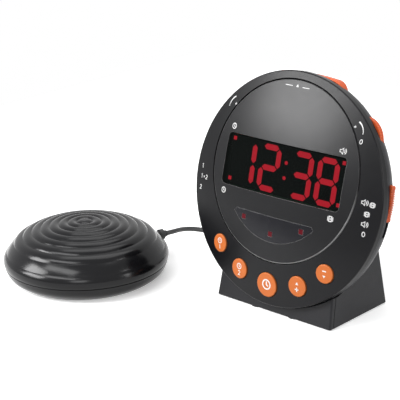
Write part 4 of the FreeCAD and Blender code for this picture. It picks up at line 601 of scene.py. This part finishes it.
def on_face(across, up, proud):
    """Places on the domed front: the sphere's height there, then the head's lean."""
    height = np.sqrt(SPHERE ** 2 - across ** 2 - up ** 2) - (SPHERE - DOME_RISE) + proud
    return np.stack((
        across,
        HEAD_Y + up * math.sin(LEAN) - height * math.cos(LEAN),
        HEAD_Z + up * math.cos(LEAN) + height * math.sin(LEAN),
    ), axis=-1)


def stroke(points, width):
    """A pen stroke: its path offset to both sides by half the width along mitred normals."""
    path = np.asarray(points, dtype=float)
    width = np.broadcast_to(np.asarray(width, dtype=float), len(path))
    closed = np.allclose(path[0], path[-1])
    runs = np.diff(path, axis=0)
    runs = runs / np.linalg.norm(runs, axis=1)[:, None]
    before = np.concatenate((runs[-1:] if closed else runs[:1], runs))
    after = np.concatenate((runs, runs[:1] if closed else runs[-1:]))
    bisector = before + after
    bisector = bisector / np.linalg.norm(bisector, axis=1)[:, None]
    normal = np.stack((-bisector[:, 1], bisector[:, 0]), axis=1)
    spread = 1 / np.maximum((bisector * after).sum(axis=1), 0.5)
    offset = normal * (width * spread / 2)[:, None]
    return np.stack((path - offset, path + offset))


def circle_path(x, y, radius, start=0.0, end=360.0, steps=25):
    """Points along an arc, angles in degrees."""
    angles = np.radians(np.linspace(start, end, steps))
    return np.stack((x + radius * np.cos(angles), y + radius * np.sin(angles)), axis=1)


def sign_strokes(sign):
    """The strokes of a sign about its own centre, about one unit high: (path, width) pairs."""
    if sign == "1":
        return [(((-0.16, 0.3), (0.06, 0.5), (0.06, -0.5)), PEN)]
    if sign == "2":
        top = circle_path(0, 0.22, 0.27, 165, -40, 12)
        return [(np.concatenate((top, ((-0.28, -0.44), (0.3, -0.44)))), PEN)]
    if sign == "0":
        angles = np.radians(np.linspace(0, 360, 33))
        return [(np.stack((0.29 * np.cos(angles), 0.46 * np.sin(angles)), axis=1), PEN)]
    if sign == "+":
        return [(((-0.3, 0), (0.3, 0)), PEN), (((0, -0.3), (0, 0.3)), PEN)]
    if sign == "-":
        return [(((-0.3, 0), (0.3, 0)), PEN)]
    if sign == "clock":
        hands = ((0, 0.3), (0, -0.02), (0.2, -0.12))
        return [(circle_path(0, 0, 0.44), PEN * 0.8), (hands, PEN * 0.8)]
    if sign == "speaker":
        horn = ((-0.5, -0.17), (-0.28, -0.17), (0.0, -0.42), (0.0, 0.42), (-0.28, 0.17),
                (-0.5, 0.17), (-0.5, -0.17))
        return [(horn, PEN * 0.6), (circle_path(0, 0, 0.28, -50, 50, 9), PEN * 0.6),
                (circle_path(0, 0, 0.5, -50, 50, 11), PEN * 0.6)]
    if sign == "shake":
        body = ((-0.2, -0.34), (0.2, -0.34), (0.2, 0.34), (-0.2, 0.34), (-0.2, -0.34))
        return [(body, PEN * 0.8), (((-0.38, -0.3), (-0.38, 0.3)), PEN * 0.7),
                (((0.38, -0.3), (0.38, 0.3)), PEN * 0.7), (((-0.08, 0), (0.08, 0)), 0.2)]
    if sign == "up":
        return [(((0, -0.3), (0, 0.35)), (0.8, 0.02))]
    return [(((0, 0.3), (0, -0.35)), (0.8, 0.02))]


def ink_mesh(name, strokes, material, lift):
    """Thin closed strips of ink: each stroke's two edges at two heights over the dome."""
    points = []
    faces = []
    for path, width in strokes:
        sides = stroke(path, width)
        count = sides.shape[1]
        rings = np.stack((
            on_face(sides[0, :, 0], sides[0, :, 1], lift),
            on_face(sides[1, :, 0], sides[1, :, 1], lift),
            on_face(sides[1, :, 0], sides[1, :, 1], lift + INK_THICKNESS),
            on_face(sides[0, :, 0], sides[0, :, 1], lift + INK_THICKNESS),
        ), axis=1)
        start = sum(len(block) for block in points)
        points.append(rings.reshape(-1, 3))
        index = start + np.arange(count * 4).reshape(count, 4)
        wrapped = np.concatenate((index, index[:, :1]), axis=1)
        quads = np.stack((
            wrapped[:-1, :-1], wrapped[:-1, 1:], wrapped[1:, 1:], wrapped[1:, :-1],
        ), axis=-1)
        faces += quads.reshape(-1, 4).tolist()
        faces += [index[0][::-1].tolist(), index[-1].tolist()]
    mesh = bpy.data.meshes.new(name)
    mesh.from_pydata(np.concatenate(points).tolist(), [], faces)
    mesh.materials.append(material)
    mesh.update()
    piece = bpy.data.objects.new(name, mesh)
    bpy.context.collection.objects.link(piece)
    return piece


def placed_signs(table):
    """Strokes of the signs in a table of (sign, x, y, size), in millimetres, as metres."""
    strokes = []
    for sign, x, y, size in table:
        for path, width in sign_strokes(sign):
            path = np.asarray(path, dtype=float) * size + (x, y)
            strokes.append((path / 1000, np.asarray(width, dtype=float) * size / 1000))
    return strokes


# Each row is a sign, its place across and up from the face's centre, and its height, in
# millimetres.
face_signs = [
    ("clock", -41.4, 30.6, 3.6), ("clock", -41.6, -8.5, 3.6),
    ("speaker", 40.6, 30.2, 4.0), ("shake", 40.0, -9.0, 4.2),
    ("1", -64.3, 1.9, 2.6),
    ("1", -64.0, -4.4, 2.6), ("+", -61.7, -4.4, 2.2), ("2", -59.3, -4.4, 2.6),
    ("2", -64.0, -11.2, 2.6),
    ("speaker", 59.4, 4.4, 3.9), ("shake", 64.0, 3.8, 3.7),
    ("shake", 61.6, -1.9, 3.7), ("speaker", 61.2, -7.7, 3.9), ("0", 61.2, -13.4, 2.8),
    ("up", 0.0, 61.2, 2.4), ("+", 44.4, 44.8, 2.4), ("0", 50.0, 37.2, 2.6),
    ("+", -44.6, 43.6, 2.4),
]
face_strokes = placed_signs(face_signs)
# Two dashes beside the arrow to the snooze bar, and at each thumbwheel an arc that grows wider.
DASH_MIDDLE = 6.2
DASH_HALF = 2.6
DASH_UP = 60.8
ARC_ACROSS = 42.6
ARC_UP = 41.4
ARC_RADIUS = 7.4
ARC_STEPS = 14
for x in (-DASH_MIDDLE, DASH_MIDDLE):
    dash = np.array(((x - DASH_HALF, DASH_UP), (x + DASH_HALF, DASH_UP)))
    face_strokes.append((dash / 1000, 0.0004))
for side in (-1, 1):
    arc_path = circle_path(side * ARC_ACROSS, ARC_UP, ARC_RADIUS, 90 - side * 90, 90 - side * 28,
                           ARC_STEPS)
    face_strokes.append((arc_path / 1000, np.linspace(0.0003, 0.0008, ARC_STEPS)))
ink = moulded("white_ink", (0.8, 0.8, 0.8), (0.75, 0.75, 0.75), 0.6, grain=0.1, mottle=0.1,
              edge=0.0)
face_marks = ink_mesh("face_marks", face_strokes, ink, INK_LIFT)
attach(face_marks, "clock")

# Each key has its angle on the circle of keys, and its signs placed from its own centre.
BUTTON_CIRCLE = 57.6
BUTTON_PROUD = 0.0009
button_signs = [
    ("alarm_one", -134.2, [("clock", 0, 1.5, 3.6), ("1", 0, -2.4, 2.6)]),
    ("alarm_two", -112.8, [("clock", 0, 1.6, 3.8), ("2", 0, -2.6, 2.8)]),
    ("time", -90.0, [("clock", 0, 0.2, 6.4)]),
    ("up", -67.2, [("up", 0, 1.7, 2.6), ("+", 0, -1.9, 4.4)]),
    ("down", -45.8, [("down", 0, -1.7, 2.4), ("-", 0, 1.6, 4.2)]),
]
for key, turn_angle, signs in button_signs:
    x = BUTTON_CIRCLE * math.cos(math.radians(turn_angle))
    y = BUTTON_CIRCLE * math.sin(math.radians(turn_angle))
    table = [(sign, x + dx, y + dy, size) for sign, dx, dy, size in signs]
    marks = ink_mesh(key + "_key_marks", placed_signs(table), ink, BUTTON_PROUD + INK_LIFT)
    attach(marks, key + "_key")


# ---- Stand: a hollow foot that the head leans back in ----
# Shell, front panel, base plate and battery door are moulded in charcoal plastic with a fine
# grain. The base plate is screwed on from below, and the door slides in it.
stand_skin = moulded("stand_skin", (0.011, 0.011, 0.013), (0.04, 0.04, 0.04), 0.38, grain=0.25,
                     scale=2600.0, specular=0.22)
dress(stand_skin, "stand_front", "stand_shell", "stand_base", "battery_door")


# ---- Inside: boards, switches, speaker, cells, jacks and motor ----
# Green boards carry black switches and jacks. Screws, cans, contacts and the speaker's basket
# are steel, the cone is paper on a ferrite magnet, and a brass weight sits on the motor's shaft.
board_skin = moulded("solder_mask", (0.02, 0.12, 0.05), (0.1, 0.3, 0.12), 0.35, grain=0.2,
                     mottle=0.3)
dress(board_skin, "control_board", "jack_board")
switch_skin = moulded("switch_black", (0.015, 0.015, 0.016), (0.05, 0.05, 0.05), 0.35)
dress(switch_skin, "key_switches", "snooze_switch", "mode_switch", "alarm_select_switch",
      "power_jack", "shaker_jack")
screw_steel = metal("screw_steel", (0.55, 0.55, 0.57), 0.28)
dress(screw_steel, "board_screws", "housing_screws", "speaker_screws", "stand_screws",
      "head_screws", "pad_screws")
can_steel = metal("can_steel", (0.62, 0.62, 0.62), 0.32)
dress(can_steel, "dimmer_pot", "volume_pot", "motor_case", "motor_strap", "battery_contacts")
dress(metal("speaker_basket", (0.05, 0.05, 0.055), 0.4), "speaker_basket")
cone_paper = moulded("cone_paper", (0.03, 0.03, 0.03), (0.05, 0.05, 0.05), 0.9, grain=0.6,
                     scale=900.0)
dress(cone_paper, "speaker_cone")
dress(metal("ferrite", (0.09, 0.09, 0.1), 0.5, tarnish=0.4), "speaker_magnet")
dress(moulded("cell_wrap", (0.07, 0.09, 0.11), (0.3, 0.3, 0.3), 0.25), "backup_cells")
dress(metal("ground_shaft", (0.7, 0.7, 0.71), 0.12), "motor_shaft")
dress(metal("turned_brass", (0.72, 0.5, 0.2), 0.25), "eccentric_weight")


# ---- Studio: pale floor, five soft lamps and a white world ----
# Camera, gloss and glass see floor and world in white, and the light on the object stays plain.
# The lamps are large soft boxes, the strongest from the front left, as the pad's gloss shows.
FLOOR_FILL = 0.4
WORLD_LEVEL = 0.15
FLOOR_CORNERS = [(-0.5, -0.4, 0), (0.35, -0.4, 0), (0.35, 0.45, 0), (-0.5, 0.45, 0)]
floor_mesh = bpy.data.meshes.new("floor")
floor_mesh.from_pydata(FLOOR_CORNERS, [], [(0, 1, 2, 3)])
floor = bpy.data.objects.new("floor", floor_mesh)
bpy.context.collection.objects.link(floor)


def seen_white(tree):
    """One for rays from the camera and in gloss or glass, which see the white background."""
    sight = add(tree, "ShaderNodeLightPath")
    seen = combined(tree, "MAXIMUM", sight.outputs["Is Camera Ray"], sight.outputs["Is Glossy Ray"])
    return combined(tree, "MAXIMUM", seen, sight.outputs["Is Transmission Ray"])


floor_white, tree, shader = new_material("floor_white")
seen = seen_white(tree)
tone = add(tree, "ShaderNodeMix", [(0, seen)], data_type="RGBA")
tone.inputs[6].default_value = (0.12, 0.12, 0.12, 1)
tone.inputs[7].default_value = (0.96, 0.96, 0.96, 1)
tree.links.new(tone.outputs[2], shader.inputs["Base Color"])
fill = combined(tree, "MULTIPLY", seen, FLOOR_FILL)
tree.links.new(fill, shader.inputs["Emission Strength"])
shader.inputs["Roughness"].default_value = 0.6
shader.inputs["Specular IOR Level"].default_value = 0.2
floor_mesh.materials.append(floor_white)


def softbox(name, place, aim, width, height, power):
    """A soft area lamp that points from its place to an aim."""
    data = bpy.data.lights.new(name, "AREA")
    data.shape = "RECTANGLE"
    data.size = width
    data.size_y = height
    data.energy = power
    lamp = bpy.data.objects.new(name, data)
    lamp.location = place
    lamp.rotation_euler = (Vector(aim) - Vector(place)).to_track_quat("-Z", "Y").to_euler()
    bpy.context.collection.objects.link(lamp)


softbox("overhead", (-0.2, 0.3, 1.5), (-0.05, 0, 0.05), 1.4, 1.0, 11)
softbox("left_front", (-0.98, -1.24, 0.84), (0.02, 0, 0.12), 0.85, 0.62, 30)
softbox("right_front", (0.75, -1.25, 0.75), (0, 0, 0.06), 0.55, 0.55, 5)
softbox("high_front", (-0.15, -0.82, 0.98), (-0.1, -0.03, 0.03), 0.9, 0.3, 7)
softbox("right_rear", (1.3, 0.5, 0.5), (0, 0, 0.06), 0.5, 0.9, 10)

world = bpy.data.worlds.new("studio")
bpy.context.scene.world = world
world.use_nodes = True
tree = world.node_tree
background = tree.nodes["Background"]
background.inputs["Color"].default_value = (1, 1, 1, 1)
level = ranged(tree, seen_white(tree), 0.0, 1.0, WORLD_LEVEL, 1.0)
tree.links.new(level, background.inputs["Strength"])
bpy.context.scene.view_settings.view_transform = "Standard"
